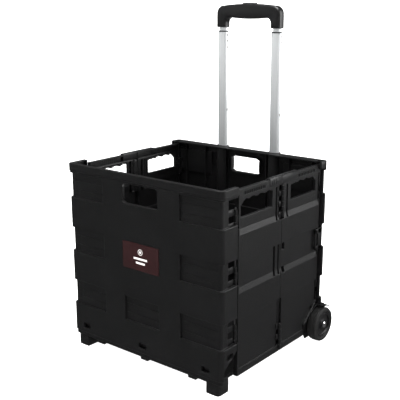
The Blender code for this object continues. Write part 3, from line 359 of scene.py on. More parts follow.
def around_core(half, level, radius, towards_y):
    """Functions for a panel with rounded corners: its outward direction and its inner plane."""
    def spread(place):
        across = max(abs(place.x) - half, 0)
        out = max((place.y - level) * towards_y, 0)
        return Vector((math.copysign(across, place.x), towards_y * out, 0))

    def outward(place):
        away = spread(place)
        return away.normalized() if away.length else Vector((0, towards_y, 0))

    def inner_place(place):
        away = spread(place)
        return place - away.normalized() * (away.length - radius)

    return outward, inner_place


FRONT_CORE_X = FACE_X - CORNER
FRONT_CORE_Y = FACE_Y + CORNER
front_outward, front_inner = around_core(FRONT_CORE_X, FRONT_CORE_Y, 0.0015, -1)

return_lines = [RETURN_END, -0.1615, WINDOW_Y, -0.1795]
right_corner = [(FACE_X, y) for y in return_lines] + corner_arc(FRONT_CORE_X, FRONT_CORE_Y, CORNER, -1)
flat_lines = both_ways([0.178, 0.158, BRICK_SIDE, 0.050, BRICK_HALF, 0.0445, 0.0415, 0.0385, 0.010])
front_plan = right_corner + [(x, FACE_Y) for x in reversed(flat_lines)]
front_plan += [(-x, y) for x, y in reversed(right_corner)]
front_heights = sorted({0.025, 0.034, 0.045, 0.056, 0.073, 0.085, 0.216, 0.274, 0.353, 0.356, 0.359,
                        0.362, 0.3855, 0.3885, 0.3915, RIM_LOW, RIM_TOP,
                        *RECESSES, *(low + RECESS_H for low in RECESSES)})

front_bm = moulded_skin(front_plan, front_heights)
face_outward(front_bm, front_outward)
for low in RECESSES:
    band = (low, low + RECESS_H)
    cut_away(front_bm, x=(FACE_X - 0.001, 1), y=(WINDOW_Y, 0), z=band)
    press(front_bm, cells(front_bm, x=(BRICK_SIDE, 1), z=band), RECESS_DEEP)
middle_band = (RECESSES[0], RECESSES[0] + RECESS_H)
press(front_bm, cells(front_bm, x=(-BRICK_HALF, BRICK_HALF), z=middle_band), RECESS_DEEP)
press(front_bm, cells(front_bm, z=(0, 0.034)), 0.002)
press(front_bm, cells(front_bm, z=(RIM_LOW, 1)), -0.0015)
press(front_bm, cells(front_bm, x=(-0.050, 0.050), y=(-1, FACE_Y + 0.001), z=(0.216, 0.274)), 0.0013)
round_opening(front_bm, BRICK_HALF, 0.353, 0.3945, 0.009, (-1, -0.19))
for x in (-0.168, 0, 0.168):
    cut_away(front_bm, x=(x - 0.010, x + 0.010), y=(-1, -0.19), z=(0.045, 0.056))
cut_away(front_bm, x=(FACE_X - 0.001, 1), y=(-0.1795, -0.1615), z=(0.073, 0.085))
for vert in front_bm.verts:
    if vert.co.y > FRONT_CORE_Y - 0.0001:
        slope = 0.054 + (vert.co.y + 0.1895) * 0.735
        vert.co.z = vert.co.z if vert.co.z > slope else slope
bmesh.ops.remove_doubles(front_bm, verts=front_bm.verts, dist=0.00001)
turn_in(front_bm, front_inner)
face_outward(front_bm, front_outward)
front_shell = piece("front_panel_shell", front_bm, crate_plastic, "front", "front_panel",
                    slot="black_plastic", smooth=0)
finish_shell(front_shell)

RIB_RISES = (0.0165, 0.0372)
fittings = bmesh.new()
for low in RECESSES:
    for rise in RIB_RISES:
        line = (low + rise - 0.0007, low + rise + 0.0007)
        deep = FACE_Y + RECESS_DEEP
        for sign in (1, -1):
            ends = sorted((sign * 0.109, sign * 0.1935))
            add_block(fittings, ends, (deep - 0.0008, deep + 0.001), line, 0.0003)
        if low == RECESSES[0]:
            add_block(fittings, (-0.044, 0.044), (deep - 0.0008, deep + 0.001), line, 0.0003)
for _, sign in SIDES:
    for low, place in CORNER_KNUCKLES:
        if place != 1:
            span = (low, low + KNUCKLE_H)
            add_barrel(fittings, sign * HINGE_X, FRONT_HINGE_Y, span)
            ends = sorted((sign * 0.1955, sign * 0.1985))
            add_block(fittings, ends, (WINDOW_Y - 0.001, -0.1435), span, 0.0004)
for x in (-0.130, 0.0, 0.130):
    add_block(fittings, (x - 0.010, x + 0.010), (-0.1945, -0.1892), (0.0230, 0.034), 0.0005)
    add_block(fittings, (x - 0.010, x + 0.010), (-0.1930, -0.1802), (0.0174, 0.0253), 0.0005)
for x in both_ways([0.058, 0.118, 0.176]):
    for band in ((0.060, 0.0985), (0.1535, 0.2150), (0.2750, 0.3405)):
        add_block(fittings, (x - 0.0009, x + 0.0009), (-0.1948, -0.1892), band, 0.0003)
for x in (-0.168, 0, 0.168):
    add_block(fittings, (x - 0.011, x + 0.011), (-0.1905, -0.1890), (0.044, 0.057), 0.0003)
piece("front_panel_knuckles", fittings, crate_plastic, "front", "front_panel", slot="black_plastic")


# ---- Label -------------------------------------------------------------------------------------
# A thin dark maroon plate let into the front panel, printed in off-white with a plain ring and dot
# over two short bars.
label_print = Surface("label_print", {"Base Color": (0.62, 0.60, 0.58), "Roughness": 0.5})
label_ink = Surface("label_ink", {"Roughness": 0.36, "Specular IOR Level": 0.3})
label_ink.feed(label_ink.shader.inputs["Base Color"],
               label_ink.shades(label_ink.noise(60, 2), (0.016, 0.0045, 0.0048), (0.023, 0.0065, 0.007)))
label_bm = bmesh.new()
add_block(label_bm, (-0.0497, 0.0497), (-0.1979, -0.1963), (0.2163, 0.2737), 0.0006)
piece("label", label_bm, label_ink, "front", "label_plate", slot="label_plate")

mark = bmesh.new()
LABEL_FACE = -0.19805
for low_r, high_r in ((0.0052, 0.0064), (0.0, 0.0028)):
    edge_in = [mark.verts.new((low_r * math.cos(a), LABEL_FACE, 0.2565 + low_r * math.sin(a)))
               for a in [math.tau * i / 40 for i in range(40)]] if low_r else None
    edge_out = [mark.verts.new((high_r * math.cos(a), LABEL_FACE, 0.2565 + high_r * math.sin(a)))
                for a in [math.tau * i / 40 for i in range(40)]]
    if edge_in:
        for i in range(40):
            mark.faces.new((edge_in[i - 1], edge_in[i], edge_out[i], edge_out[i - 1]))
    else:
        mark.faces.new(edge_out)
for low, half in ((0.2400, 0.0185), (0.2310, 0.0125)):
    corners = ((-half, low), (half, low), (half, low + 0.0042), (-half, low + 0.0042))
    mark.faces.new([mark.verts.new((x, LABEL_FACE, z)) for x, z in corners])
face_outward(mark, lambda place: Vector((0, -1, 0)))
piece("label_pictogram", mark, label_print, "front", "label_plate", slot="label_plate")


# ---- Side panels -------------------------------------------------------------------------------
# Each side folds in half along an upright hinge. The halves are shells like the front panel, with
# recessed zones that end in sloping steps and a scalloped handle opening near the top.
SIDE_X = 0.206
SIDE_IN = 0.196
SIDE_LOW = 0.026
SIDE_TOP = 0.408
REAR_HINGE_Y = 0.156
MID_HINGE_X = 0.207
ZONE_DEEP = 0.0024
ZONES = ((0.040, 0.145, 0.0), (0.200, 0.266, 0.012), (0.318, 0.391, 0.012))
MID_Y = 0.006
MID_GROUPS = ((0.030, 0.012, 5), (0.324, 0.011, 6))
MID_CLEAR = 0.009
MID_SPANS = [(0.0294, 0.1450), (0.3234, 0.3903)]
VENT_Z = (0.3955, 0.402)
VENT_PITCH = 0.006
bodies = frame["record"]["behaviour"]["bodies"]


def body_of(node):
    return next(name for name, nodes in bodies.items() if node in nodes)


def side_half(y0, y1, zone_y, hole, cut_corner, slots, columns, arch=None):
    """One half of a right-hand side panel between two hinges."""
    (hole_y0, hole_y1), (hole_z0, hole_z1) = hole
    in_front = y1 < MID_Y
    relief = MID_Y - MID_CLEAR if in_front else MID_Y + MID_CLEAR
    corner_relief = y0 + 0.0041 if in_front else y1 - 0.0041
    lines = {y0, y1, hole_y0, hole_y1, relief, corner_relief, *columns, *zone_y}
    for slot_y, _ in slots:
        lines |= set(slot_y)
    lines = sorted(line for line in lines if y0 <= line <= y1)
    merged = [lines[0]]
    for line in lines[1:]:
        if line - merged[-1] > 0.0006:
            merged.append(line)
    heights = {SIDE_LOW, 0.0395, SIDE_TOP, *VENT_Z, hole_z0, hole_z1}
    for low, high, step in ZONES:
        heights |= {low, high, low + step}
    for _, slot_z in slots:
        heights |= set(slot_z)
    corner_spans = [(low - 0.0006, low + 0.0393) for low in CORNER_GROUPS]
    for span in MID_SPANS + corner_spans:
        heights |= set(span)
    heights = sorted(heights)
    bm = moulded_skin([(SIDE_X, y) for y in merged], heights)
    outward = lambda place: Vector((1, 0, 0))
    face_outward(bm, outward)
    for low, high, step in ZONES:
        press(bm, cells(bm, y=zone_y, z=(low, high)), ZONE_DEEP)
        if step:
            for vert in bm.verts:
                if low - 0.0001 < vert.co.z < low + step and vert.co.x < SIDE_X - 0.001:
                    vert.co.z = low + step
            bmesh.ops.remove_doubles(bm, verts=bm.verts, dist=0.00005)
    cut_away(bm, y=(hole_y0, hole_y1), z=(hole_z0, hole_z1))
    fingers = 4
    for vert in bm.verts:
        on_top = abs(vert.co.z - hole_z1) < 0.0001 and vert.is_boundary
        if on_top and hole_y0 - 0.0001 < vert.co.y < hole_y1 + 0.0001:
            share = (vert.co.y - hole_y0) / (hole_y1 - hole_y0)
            from_corner = share if cut_corner < 0 else 1 - share
            drop = 0.0034 * (1 - abs(math.sin(fingers * math.pi * share))) + 0.0008
            vert.co.z -= drop + (0.010 * (1 - from_corner / 0.17) if from_corner < 0.17 else 0)
    for slot_y, slot_z in slots:
        cut_away(bm, y=slot_y, z=slot_z)
    for span in MID_SPANS:
        for vert in press(bm, cells(bm, y=sorted((relief, MID_Y)), z=span), 0.001):
            vert.co.x = SIDE_IN + 0.0032
    for span in corner_spans:
        cut_away(bm, y=sorted((corner_relief, y0 - 0.001 if in_front else y1 + 0.001)), z=span)
    for vent in range(12):
        start = columns[0] + VENT_PITCH * vent
        if start + VENT_PITCH / 2 < columns[-1]:
            press(bm, cells(bm, y=(start, start + VENT_PITCH / 2), z=VENT_Z), 0.0018)
    if arch:
        for vert in list(bm.verts):
            away = Vector((vert.co.y - arch[0], vert.co.z - arch[1]))
            vert.tag = away.length < arch[2]
        inside = [face for face in bm.faces if all(vert.tag for vert in face.verts)]
        bmesh.ops.delete(bm, geom=inside, context="FACES")
        for vert in bm.verts:
            away = Vector((vert.co.y - arch[0], vert.co.z - arch[1]))
            if vert.is_boundary and away.length < arch[2]:
                away = away.normalized() * arch[2]
                vert.co.y = arch[0] + away.x
                vert.co.z = arch[1] + away.y
    turn_in(bm, lambda place: Vector((SIDE_IN + 0.0005, place.y, place.z)))
    face_outward(bm, outward)
    return bm


def mirrored_bm(bm):
    bmesh.ops.scale(bm, vec=(-1, 1, 1), verts=bm.verts)
    bmesh.ops.reverse_faces(bm, faces=bm.faces)
    return bm


FRONT_HALF = dict(
    y0=-0.1435, y1=0.0056, zone_y=(-0.1395, 1), hole=((-0.134, -0.026), (0.351, 0.388)), cut_corner=-1,
    slots=[((-0.0144, -0.0089), (0.322, 0.388)), ((-0.0200, -0.0130), (0.204, 0.2655)),
           ((-0.0036, 0.0014), (0.204, 0.2655))],
    columns=[-0.1255 + 0.003 * i for i in range(34)])
REAR_HALF = dict(
    y0=0.0064, y1=0.1555, zone_y=(-1, 0.1515), hole=((0.041, 0.1405), (0.352, 0.388)), cut_corner=1,
    slots=[((0.0249, 0.0304), (0.322, 0.388)), ((0.0114, 0.0214), (0.250, 0.2655)),
           ((0.0114, 0.0214), (0.204, 0.213))],
    columns=[0.062 + 0.003 * i for i in range(26)], arch=(0.160, 0.039, 0.055))

for side, sign in SIDES:
    for name, half, hinge_y, reach, offset in (("front", FRONT_HALF, FRONT_HINGE_Y, 0.0075, 0),
                                               ("rear", REAR_HALF, REAR_HINGE_Y, -0.0075, 1)):
        bm = side_half(**half)
        knuckles = bmesh.new()
        for low, place in CORNER_KNUCKLES:
            if place == 1:
                span = (low, low + KNUCKLE_H)
                add_barrel(knuckles, HINGE_X, hinge_y, span)
                add_block(knuckles, (0.196, 0.202), sorted((hinge_y, hinge_y + reach)), span, 0.0004)
        for low, step, count in MID_GROUPS:
            for i in range(offset, count, 2):
                span = (low + step * i, low + step * (i + 1) - 0.0003)
                add_barrel(knuckles, MID_HINGE_X, MID_Y, span)
                arm = math.copysign(0.0112, -reach)
                add_block(knuckles, (0.1995, 0.2058), sorted((MID_Y, MID_Y + arm)), span, 0.0004)
        if sign < 0:
            mirrored_bm(bm)
            mirrored_bm(knuckles)
        node = f"side_{name}_{side}"
        shell = piece(f"side_{name}_shell_{side}", bm, crate_plastic, body_of(node), node,
                      slot="black_plastic", smooth=0)
        finish_shell(shell, 0.0028, 0.0006)
        piece(f"side_{name}_knuckles_{side}", knuckles, crate_plastic, body_of(node), node,
              slot="black_plastic")


# ---- Side lock bars ----------------------------------------------------------------------------
# A sliding bar over the rim of each side: a solid block in the front half's notch and a thin angle
# that runs in the rear half's channel. Moulded in the same black plastic, a little glossier.
bar_plastic = grained_plastic("bar_plastic", (0.0055, 0.0055, 0.0058), (0.009, 0.009, 0.0095), 0.38,
                              0.00012)
for side, sign in SIDES:
    bar = bmesh.new()
    add_block(bar, (0.197, 0.2072), (-0.041, 0.0058), (0.3935, 0.411), 0.0012)
    add_block(bar, (0.197, 0.2072), (0.004, 0.063), (0.4083, 0.411), 0.0008)
    add_block(bar, (0.2038, 0.2072), (0.004, 0.063), (0.3935, 0.411), 0.0008)
    for i in range(3):
        add_block(bar, (0.2068, 0.2079), (-0.033 + 0.007 * i, -0.030 + 0.007 * i), (0.397, 0.408), 0.0004)
    if sign < 0:
        mirrored_bm(bar)
    piece(f"lock_bar_{side}", bar, bar_plastic, f"side_lock_bar_{side}", f"side_lock_{side}",
          slot="black_plastic")


# ---- Rear panel --------------------------------------------------------------------------------
# The crate's widest moulding, in the same grained polypropylene: it carries the two handle sleeves,
# the shelf that covers the side panels' ends, a latch tab on each end and the fenders.
BACK_Y = 0.173
END_X = 0.214
rear_outward, rear_inner = around_core(END_X - 0.008, BACK_Y - 0.008, -0.0035, 1)
rear_corner = [(END_X, 0.1615)] + corner_arc(END_X - 0.008, BACK_Y - 0.008, 0.008, 1)
rear_lines = both_ways([0.1877, BRICK_SIDE, BRICK_HALF, 0.039, 0.036, 0.033, 0.030])
rear_plan = rear_corner + [(x, BACK_Y) for x in reversed(rear_lines)]
rear_plan += [(-x, y) for x, y in reversed(rear_corner)]
rear_heights = sorted({0.037, 0.0845, 0.359, 0.362, 0.365, 0.368, 0.3875, 0.3905, 0.3935, 0.3965,
                       RIM_LOW, RIM_TOP, *RECESSES, *(low + RECESS_H for low in RECESSES)})
rear_bm = moulded_skin(rear_plan, rear_heights)
face_outward(rear_bm, rear_outward)
cut_away(rear_bm, x=(0.1877, 1), z=(0, 0.0845))
for low in RECESSES:
    band = (low, low + RECESS_H)
    press(rear_bm, cells(rear_bm, x=(BRICK_SIDE, 1), z=band), RECESS_DEEP)
    if low < 0.3:
        press(rear_bm, cells(rear_bm, x=(-BRICK_HALF, BRICK_HALF), z=band), RECESS_DEEP)
round_opening(rear_bm, 0.039, 0.359, 0.3965, 0.009, (0.17, 1))
turn_in(rear_bm, rear_inner)
face_outward(rear_bm, rear_outward)
finish_shell(piece("rear_panel_shell", rear_bm, crate_plastic, "trolley", "rear_panel",
                   slot="black_plastic", smooth=0))


def oval_plan(centre_x, centre_y, width, depth, radius, steps=8):
    """A tube's section as a closed ring of points."""
    half = Vector((width / 2 - radius, depth / 2 - radius))
    ring = []
    for quarter in range(4):
        corner = Vector((half.x if quarter in (0, 3) else -half.x, half.y if quarter < 2 else -half.y))
        for i in range(steps + 1):
            angle = math.pi / 2 * (quarter + i / steps)
            ring.append((centre_x + corner.x + radius * math.cos(angle),
                         centre_y + corner.y + radius * math.sin(angle)))
    return ring


def oval_tube(bm, outer, inner, low, high, soften=0.0003):
    """A hollow oval length: outer and inner walls bridged at both ends."""
    rings = [[bm.verts.new((x, y, z)) for x, y in ring]
             for ring, z in ((outer, low), (outer, high), (inner, high), (inner, low))]
    count = len(outer)
    for first, second in zip(rings, rings[1:] + rings[:1]):
        for i in range(count):
            bm.faces.new((first[i - 1], first[i], second[i], second[i - 1]))
    if soften:
        ends = [edge for ring in rings for i, vert in enumerate(ring) for edge in vert.link_edges
                if edge.other_vert(vert) in (ring[i - 1],)]
        bmesh.ops.bevel(bm, geom=ends, offset=soften, segments=2, affect="EDGES", profile=0.5,
                        material=-1)
    bmesh.ops.recalc_face_normals(bm, faces=bm.faces)


def merge_into(bm, other):
    """Puts a finished part of a piece into its main mesh."""
    mesh = bpy.data.meshes.new("part")
    other.to_mesh(mesh)
    other.free()
    bm.from_mesh(mesh)
    bpy.data.meshes.remove(mesh)


TUBE_X = 0.0737
TUBE_Y = 0.173
SLEEVE_RIBS = (0.066, 0.170, 0.290, 0.350)
rear_fittings = bmesh.new()
for low in RECESSES:
    for rise in RIB_RISES:
        line = (low + rise - 0.0007, low + rise + 0.0007)
        deep = BACK_Y - RECESS_DEEP
        for sign in (1, -1):
            ends = sorted((sign * 0.109, sign * 0.1935))
            add_block(rear_fittings, ends, (deep - 0.001, deep + 0.0008), line, 0.0003)
for _, sign in SIDES:
    sleeve = bmesh.new()
    oval_tube(sleeve, oval_plan(sign * TUBE_X, TUBE_Y, 0.0302, 0.0202, 0.0093),
              oval_plan(sign * TUBE_X, TUBE_Y, 0.0248, 0.0148, 0.0066), 0.060, 0.4110)
    merge_into(rear_fittings, sleeve)
    for low in SLEEVE_RIBS:
        rise = (low, low + 0.002)
        for near, far, front in ((0.0575, 0.0610, 0.172), (0.0864, 0.090, 0.172),
                                 (0.0575, 0.090, 0.1808)):
            add_block(rear_fittings, sorted((sign * near, sign * far)), (front, 0.1832), rise, 0.0003)
    for low, place in CORNER_KNUCKLES:
        if place != 1:
            span = (low, low + KNUCKLE_H)
            ends = sorted((sign * 0.1955, sign * 0.203))
            add_barrel(rear_fittings, sign * HINGE_X, REAR_HINGE_Y, span)
            add_block(rear_fittings, ends, (REAR_HINGE_Y, 0.1640), span, 0.0004)
    end = sorted((sign * 0.2068, sign * END_X))
    add_block(rear_fittings, end, (0.146, 0.1640), (RIM_LOW, RIM_TOP), 0.0010)
    tab = sorted((sign * 0.2068, sign * 0.2102))
    add_block(rear_fittings, tab, (0.1370, 0.1640), (0.218, 0.226), 0.0008)
    add_block(rear_fittings, tab, (0.1370, 0.1640), (0.254, 0.265), 0.0008)
    add_block(rear_fittings, tab, (0.1370, 0.1420), (0.218, 0.265), 0.0008)
    add_block(rear_fittings, tab, (0.1480, 0.1640), (0.218, 0.265), 0.0008)
    fender = bmesh.new()
    for radius_out, wide, first, last in ((0.0455, 0.0197, 60, 95), (0.0470, 0.0035, 52, 150)):
        angles = [math.radians(first + (last - first) * i / 24) for i in range(25)]
        ring = [(0.043, a) for a in angles] + [(radius_out, a) for a in reversed(angles)]
        faces = []
        for x in (0.2068, 0.2068 + wide):
            faces.append([fender.verts.new((x, 0.160 + r * math.cos(a), 0.039 + r * math.sin(a)))
                          for r, a in ring])
        fender.faces.new(faces[0])
        fender.faces.new(list(reversed(faces[1])))
        for i in range(len(ring)):
            fender.faces.new((faces[0][i - 1], faces[0][i], faces[1][i], faces[1][i - 1]))
    bmesh.ops.recalc_face_normals(fender, faces=fender.faces)
    if sign < 0:
        mirrored_bm(fender)
    merge_into(rear_fittings, fender)
add_block(rear_fittings, (-0.196, 0.196), (0.147, 0.1635), (0.4122, RIM_TOP), 0.0008)
for x in both_ways([0.058, 0.120, 0.180]):
    foot_z = 0.039 if x < 0.1 else 0.090
    add_block(rear_fittings, (x - 0.0009, x + 0.0009), (0.1622, 0.1705), (foot_z, 0.411), 0.0003)
piece("rear_panel_fittings", rear_fittings, crate_plastic, "trolley", "rear_panel", slot="black_plastic")

for side, sign in SIDES:
    bezel = bmesh.new()
    oval_tube(bezel, oval_plan(sign * TUBE_X, TUBE_Y, 0.0300, 0.0200, 0.0092),
              oval_plan(sign * TUBE_X, TUBE_Y, 0.0248, 0.0148, 0.0066), 0.4113, 0.4160, 0.0006)
    piece(f"mouth_bezel_{side}", bezel, bar_plastic, "trolley", f"tube_mouth_bezel_{side}",
          slot="black_plastic")


# ---- Front feet --------------------------------------------------------------------------------
# Two corner blocks moulded in black under the front panel; the trolley rests on them and its wheels.
for side, sign in SIDES:
    foot = bmesh.new()
    plan = [(0.168, -0.195), (0.1917, -0.195)]
    plan += [(0.1917 + 0.008 * math.sin(a), -0.187 - 0.008 * math.cos(a))
             for a in [math.pi / 2 * i / 6 for i in range(1, 7)]]
    plan += [(0.1997, -0.163), (0.168, -0.163)]
    base = foot.faces.new([foot.verts.new((x, y, 0.0)) for x, y in plan])
    top = bmesh.ops.extrude_face_region(foot, geom=[base])["geom"]
    raised = [item for item in top if isinstance(item, bmesh.types.BMVert)]
    bmesh.ops.translate(foot, vec=(0, 0, 0.0247), verts=raised)
    bmesh.ops.recalc_face_normals(foot, faces=foot.faces)
    ends = [edge for edge in foot.edges if edge.calc_face_angle(0) > math.radians(40)]
    bmesh.ops.bevel(foot, geom=ends, offset=0.0012, segments=2, affect="EDGES", profile=0.5, material=-1)
    add_block(foot, (0.1685, 0.1992), (-0.1885, -0.1632), (0.0235, 0.0338), 0.0008)
    if sign < 0:
        mirrored_bm(foot)
    piece(f"foot_block_{side}", foot, crate_plastic, "front", f"front_foot_{side}", slot="black_plastic")


# ---- Wheels ------------------------------------------------------------------------------------
# Small solid wheels: a matt black tyre with one groove round its tread on a black moulded hub, and
# a bright domed cap over the end of the stub axle.
WHEEL_Y = 0.160
WHEEL_Z = 0.039
WHEEL_IN = 0.2035
WHEEL_OUT = 0.227


def lathe(profile, steps=96):
    """Turns a closed (x, radius) profile round the wheel axle."""
    bm = bmesh.new()
    verts = [bm.verts.new((x, WHEEL_Y, WHEEL_Z + radius)) for x, radius in profile]
    edges = [bm.edges.new((verts[i - 1], verts[i])) for i in range(len(verts))]
    bmesh.ops.spin(bm, geom=verts + edges, cent=(0, WHEEL_Y, WHEEL_Z), axis=(1, 0, 0), angle=math.tau,
                   steps=steps, use_merge=True)
    bmesh.ops.remove_doubles(bm, verts=bm.verts, dist=0.000001)
    bmesh.ops.recalc_face_normals(bm, faces=bm.faces)
    return bm


tyre_rubber = Surface("tyre_rubber", {"Specular IOR Level": 0.2})
tyre_rubber.feed(tyre_rubber.shader.inputs["Base Color"],
                 tyre_rubber.shades(tyre_rubber.noise(40, 3), (0.0065, 0.0065, 0.0065),
                                    (0.012, 0.0118, 0.0115)))
tyre_rubber.feed(tyre_rubber.shader.inputs["Roughness"], 0.48 + 0.14 * tyre_rubber.noise(90, 2))
tyre_rubber.bump(tyre_rubber.noise(900, 2), 0.3, 0.0002)
hub_plastic = grained_plastic("hub_plastic", (0.0035, 0.0035, 0.0037), (0.006, 0.006, 0.0063), 0.34,
                              0.00008)
chrome = Surface("chrome", {"Base Color": (0.78, 0.78, 0.80), "Metallic": 1.0})
chrome.feed(chrome.shader.inputs["Roughness"], 0.06 + 0.08 * chrome.noise(300, 2))

TYRE = [(WHEEL_IN, 0.0288), (WHEEL_IN, 0.0345), (WHEEL_IN + 0.0006, 0.0365), (WHEEL_IN + 0.0016, 0.0380),
        (WHEEL_IN + 0.0032, 0.0388), (WHEEL_IN + 0.005, 0.0390), (WHEEL_OUT - 0.0080, 0.0390),
        (WHEEL_OUT - 0.0074, 0.0386), (WHEEL_OUT - 0.0070, 0.0378), (WHEEL_OUT - 0.0058, 0.0378),
        (WHEEL_OUT - 0.0054, 0.0386), (WHEEL_OUT - 0.0048, 0.0389), (WHEEL_OUT - 0.0030, 0.0386),
        (WHEEL_OUT - 0.0014, 0.0377), (WHEEL_OUT - 0.0005, 0.0362), (WHEEL_OUT, 0.0340),
        (WHEEL_OUT, 0.0308), (WHEEL_OUT - 0.0004, 0.0300), (WHEEL_OUT - 0.0012, 0.0293),
        (WHEEL_OUT - 0.0018, 0.0288)]
HUB_FACE = WHEEL_OUT - 0.0012
HUB = [(WHEEL_IN + 0.001, 0.0043), (WHEEL_IN + 0.001, 0.012), (WHEEL_IN + 0.006, 0.013),
       (WHEEL_IN + 0.006, 0.023), (WHEEL_IN + 0.001, 0.024), (WHEEL_IN + 0.001, 0.0285),
       (HUB_FACE - 0.0008, 0.0285), (HUB_FACE - 0.0002, 0.0280), (HUB_FACE, 0.0272), (HUB_FACE, 0.0262),
       (HUB_FACE - 0.0004, 0.0255), (HUB_FACE - 0.0030, 0.0248), (HUB_FACE - 0.0034, 0.0242),
       (HUB_FACE - 0.0034, 0.0128), (HUB_FACE - 0.0030, 0.0120), (HUB_FACE - 0.0010, 0.0114),
       (HUB_FACE - 0.0005, 0.0106), (HUB_FACE - 0.0005, 0.0043)]
CAP_BASE = WHEEL_OUT - 0.0002
CAP = [(CAP_BASE, 0.0), (CAP_BASE, 0.0074), (CAP_BASE + 0.0005, 0.0075)]
CAP += [(CAP_BASE + 0.0005 + 0.0033 * math.sin(a), 0.0075 * math.cos(a))
        for a in [math.pi / 2 * i / 10 for i in range(1, 10)]] + [(CAP_BASE + 0.0038, 0.0)]
for side, sign in SIDES:
    for name, profile, look, rider, node, slot in (
            ("solid_tyre", TYRE, tyre_rubber, f"wheel_{side}", f"tyre_{side}", "tyre_rubber"),
            ("hub", HUB, hub_plastic, f"wheel_{side}", f"wheel_hub_{side}", "black_plastic"),
            ("cap", CAP, chrome, "trolley", f"axle_cap_{side}", "chrome_cap")):
        bm = lathe(profile)
        if sign < 0:
            mirrored_bm(bm)
        piece(f"{name}_{side}", bm, look, rider, node, slot=slot)


# ---- Telescopic tubes --------------------------------------------------------------------------
# Two stages of drawn oval aluminium tube with a satin anodised finish; the lower stage has a row of
# lock holes in its side and a black plastic collar at its mouth.
satin = Surface("satin_aluminium", {"Metallic": 0.5})
streaks = satin.noise(420, 3, (1, 1, 0.012))
satin.feed(satin.shader.inputs["Base Color"],
           satin.shades(streaks, (0.46, 0.475, 0.48), (0.54, 0.555, 0.56)))
satin.feed(satin.shader.inputs["Roughness"], 0.26 + 0.14 * streaks)
satin.bump(streaks, 0.12, 0.0001)
hole_shade = Surface("hole_shade", {"Base Color": (0.004, 0.004, 0.004), "Roughness": 0.9})
TUBE_TOP = 0.682
HOLES = [TUBE_TOP - drop for drop in (0.007, 0.020, 0.035, 0.180)]

for side, sign in SIDES:
    lower = bmesh.new()
    oval_tube(lower, oval_plan(sign * TUBE_X, TUBE_Y, 0.024, 0.014, 0.0062),
              oval_plan(sign * TUBE_X, TUBE_Y, 0.0216, 0.0116, 0.0050), TUBE_TOP - 0.307, TUBE_TOP, 0.0002)
    piece(f"lower_stage_{side}", lower, satin, "handle_lower", f"lower_tube_{side}", slot="aluminium_tube")
    # The lock holes are not cut through the tube: near-black discs laid just proud of its side are painted
    # shade in place of the holes' dark insides.
    hole_shade_discs = bmesh.new()
    for z in HOLES:
        made = bmesh.ops.create_circle(hole_shade_discs, cap_ends=True, cap_tris=True, segments=28,
                                       radius=0.0026)["verts"]
        lay = Matrix.Translation((sign * TUBE_X, TUBE_Y, z)) @ Matrix.Rotation(math.pi / 2, 4, "Y")
        bmesh.ops.transform(hole_shade_discs, matrix=lay, verts=made)
        for vert in made:
            off_flat = abs(vert.co.y - TUBE_Y) - 0.0008
            off_flat = off_flat if off_flat > 0 else 0
            vert.co.x += 0.0058 + math.sqrt(0.0062 ** 2 - off_flat ** 2) + 0.00006
    piece(f"lock_hole_shade_{side}", hole_shade_discs, hole_shade, "handle_lower", f"lower_tube_{side}",
          slot="aluminium_tube")
    upper = bmesh.new()
    oval_tube(upper, oval_plan(sign * TUBE_X, TUBE_Y, 0.018, 0.0105, 0.0045),
              oval_plan(sign * TUBE_X, TUBE_Y, 0.016, 0.0085, 0.0035), 0.397, 0.715, 0.0002)
    piece(f"upper_stage_{side}", upper, satin, "handle_upper", f"upper_tube_{side}", slot="aluminium_tube")
    collar = bmesh.new()
    oval_tube(collar, oval_plan(sign * TUBE_X, TUBE_Y, 0.0252, 0.0152, 0.0068),
              oval_plan(sign * TUBE_X, TUBE_Y, 0.0188, 0.0113, 0.0049),
              TUBE_TOP + 0.0003, TUBE_TOP + 0.0027, 0.0004)
    piece(f"collar_{side}", collar, bar_plastic, "handle_lower", f"tube_collar_{side}",
          slot="black_plastic")


# ---- Grip and release button -------------------------------------------------------------------
# A two-part moulded grip of smooth black plastic with thick rounded legs, and a press button let
# into its top that draws the lock pins through the upper tubes.
grip_plastic = grained_plastic("grip_plastic", (0.0050, 0.0050, 0.0052), (0.0080, 0.0080, 0.0083), 0.33,
                               0.00008, 900)
GRIP_LOW = 0.692
GRIP_TOP = 0.741
GRIP_HALF = 0.087
GRIP_LEG = 0.0255
UNDER = GRIP_LOW + 0.0225


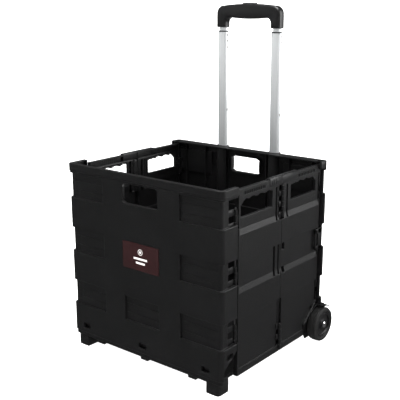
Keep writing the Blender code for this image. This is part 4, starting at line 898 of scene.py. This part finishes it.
def grip_outline():
    """The grip seen from the front: legs, rounded shoulders, crowned top and bowed underside."""
    inner = GRIP_HALF - GRIP_LEG
    shoulder = 0.018
    fillet = 0.012
    right = [(inner, GRIP_LOW), (GRIP_HALF, GRIP_LOW)]
    right += [(GRIP_HALF - shoulder + shoulder * math.cos(a), GRIP_TOP - shoulder + shoulder * math.sin(a))
              for a in [math.pi / 2 * i / 12 for i in range(12)]]
    span = GRIP_HALF - shoulder
    right += [(span * (1 - i / 12), GRIP_TOP + 0.004 * (1 - (1 - i / 12) ** 2)) for i in range(12)]
    under = [(inner - fillet + fillet * math.cos(a), UNDER - fillet + fillet * math.sin(a))
             for a in [math.pi / 2 * i / 8 for i in range(9)]]
    bow = inner - fillet
    under += [(bow * (1 - i / 12), UNDER - 0.0028 * (1 - (1 - i / 12) ** 2)) for i in range(1, 12)]
    outer = right + [(0.0, GRIP_TOP + 0.004)] + [(-x, z) for x, z in reversed(right)]
    below = [(-x, z) for x, z in under] + [(0.0, UNDER - 0.0028)] + list(reversed(under))
    return outer + below


grip_bm = bmesh.new()
front_face = grip_bm.faces.new([grip_bm.verts.new((x, TUBE_Y - 0.0112, z)) for x, z in grip_outline()])
run = bmesh.ops.extrude_face_region(grip_bm, geom=[front_face])["geom"]
moved = [item for item in run if isinstance(item, bmesh.types.BMVert)]
bmesh.ops.translate(grip_bm, vec=(0, 0.0224, 0), verts=moved)
bmesh.ops.recalc_face_normals(grip_bm, faces=grip_bm.faces)
outline_edges = [edge for edge in grip_bm.edges if abs(edge.verts[0].co.y - edge.verts[1].co.y) < 0.001]
bmesh.ops.bevel(grip_bm, geom=outline_edges, offset=0.0062, segments=7, affect="EDGES", profile=0.5,
                material=-1)
piece("grip_moulding", grip_bm, grip_plastic, "handle_upper", "grip", slot="black_plastic")

button_bm = bmesh.new()
add_block(button_bm, (-0.017, 0.017), (TUBE_Y - 0.0062, TUBE_Y + 0.0062), (0.7350, 0.7470), 0.0016)
piece("press_button", button_bm, hub_plastic, "button", "release_button", slot="black_plastic")


# ---- Small metal and hidden parts --------------------------------------------------------------
# Hinge pins, screws, stub axles, pull rods and the button's spring are plain drawn or turned steel;
# brackets, the floor panel and the glides are black mouldings.
steel = Surface("plain_steel", {"Metallic": 1.0})
steel.feed(steel.shader.inputs["Base Color"], steel.shades(steel.noise(50, 3), (0.42, 0.42, 0.43),
                                                           (0.56, 0.56, 0.57)))
steel.feed(steel.shader.inputs["Roughness"], 0.24 + 0.16 * steel.noise(180, 2))
for name, made in frame["nodes"].items():
    metal = any(word in name for word in ("pin", "screw", "stub", "spring", "rod"))
    look = steel if metal else crate_plastic
    for slot in made.material_slots:
        slot.material = look.material
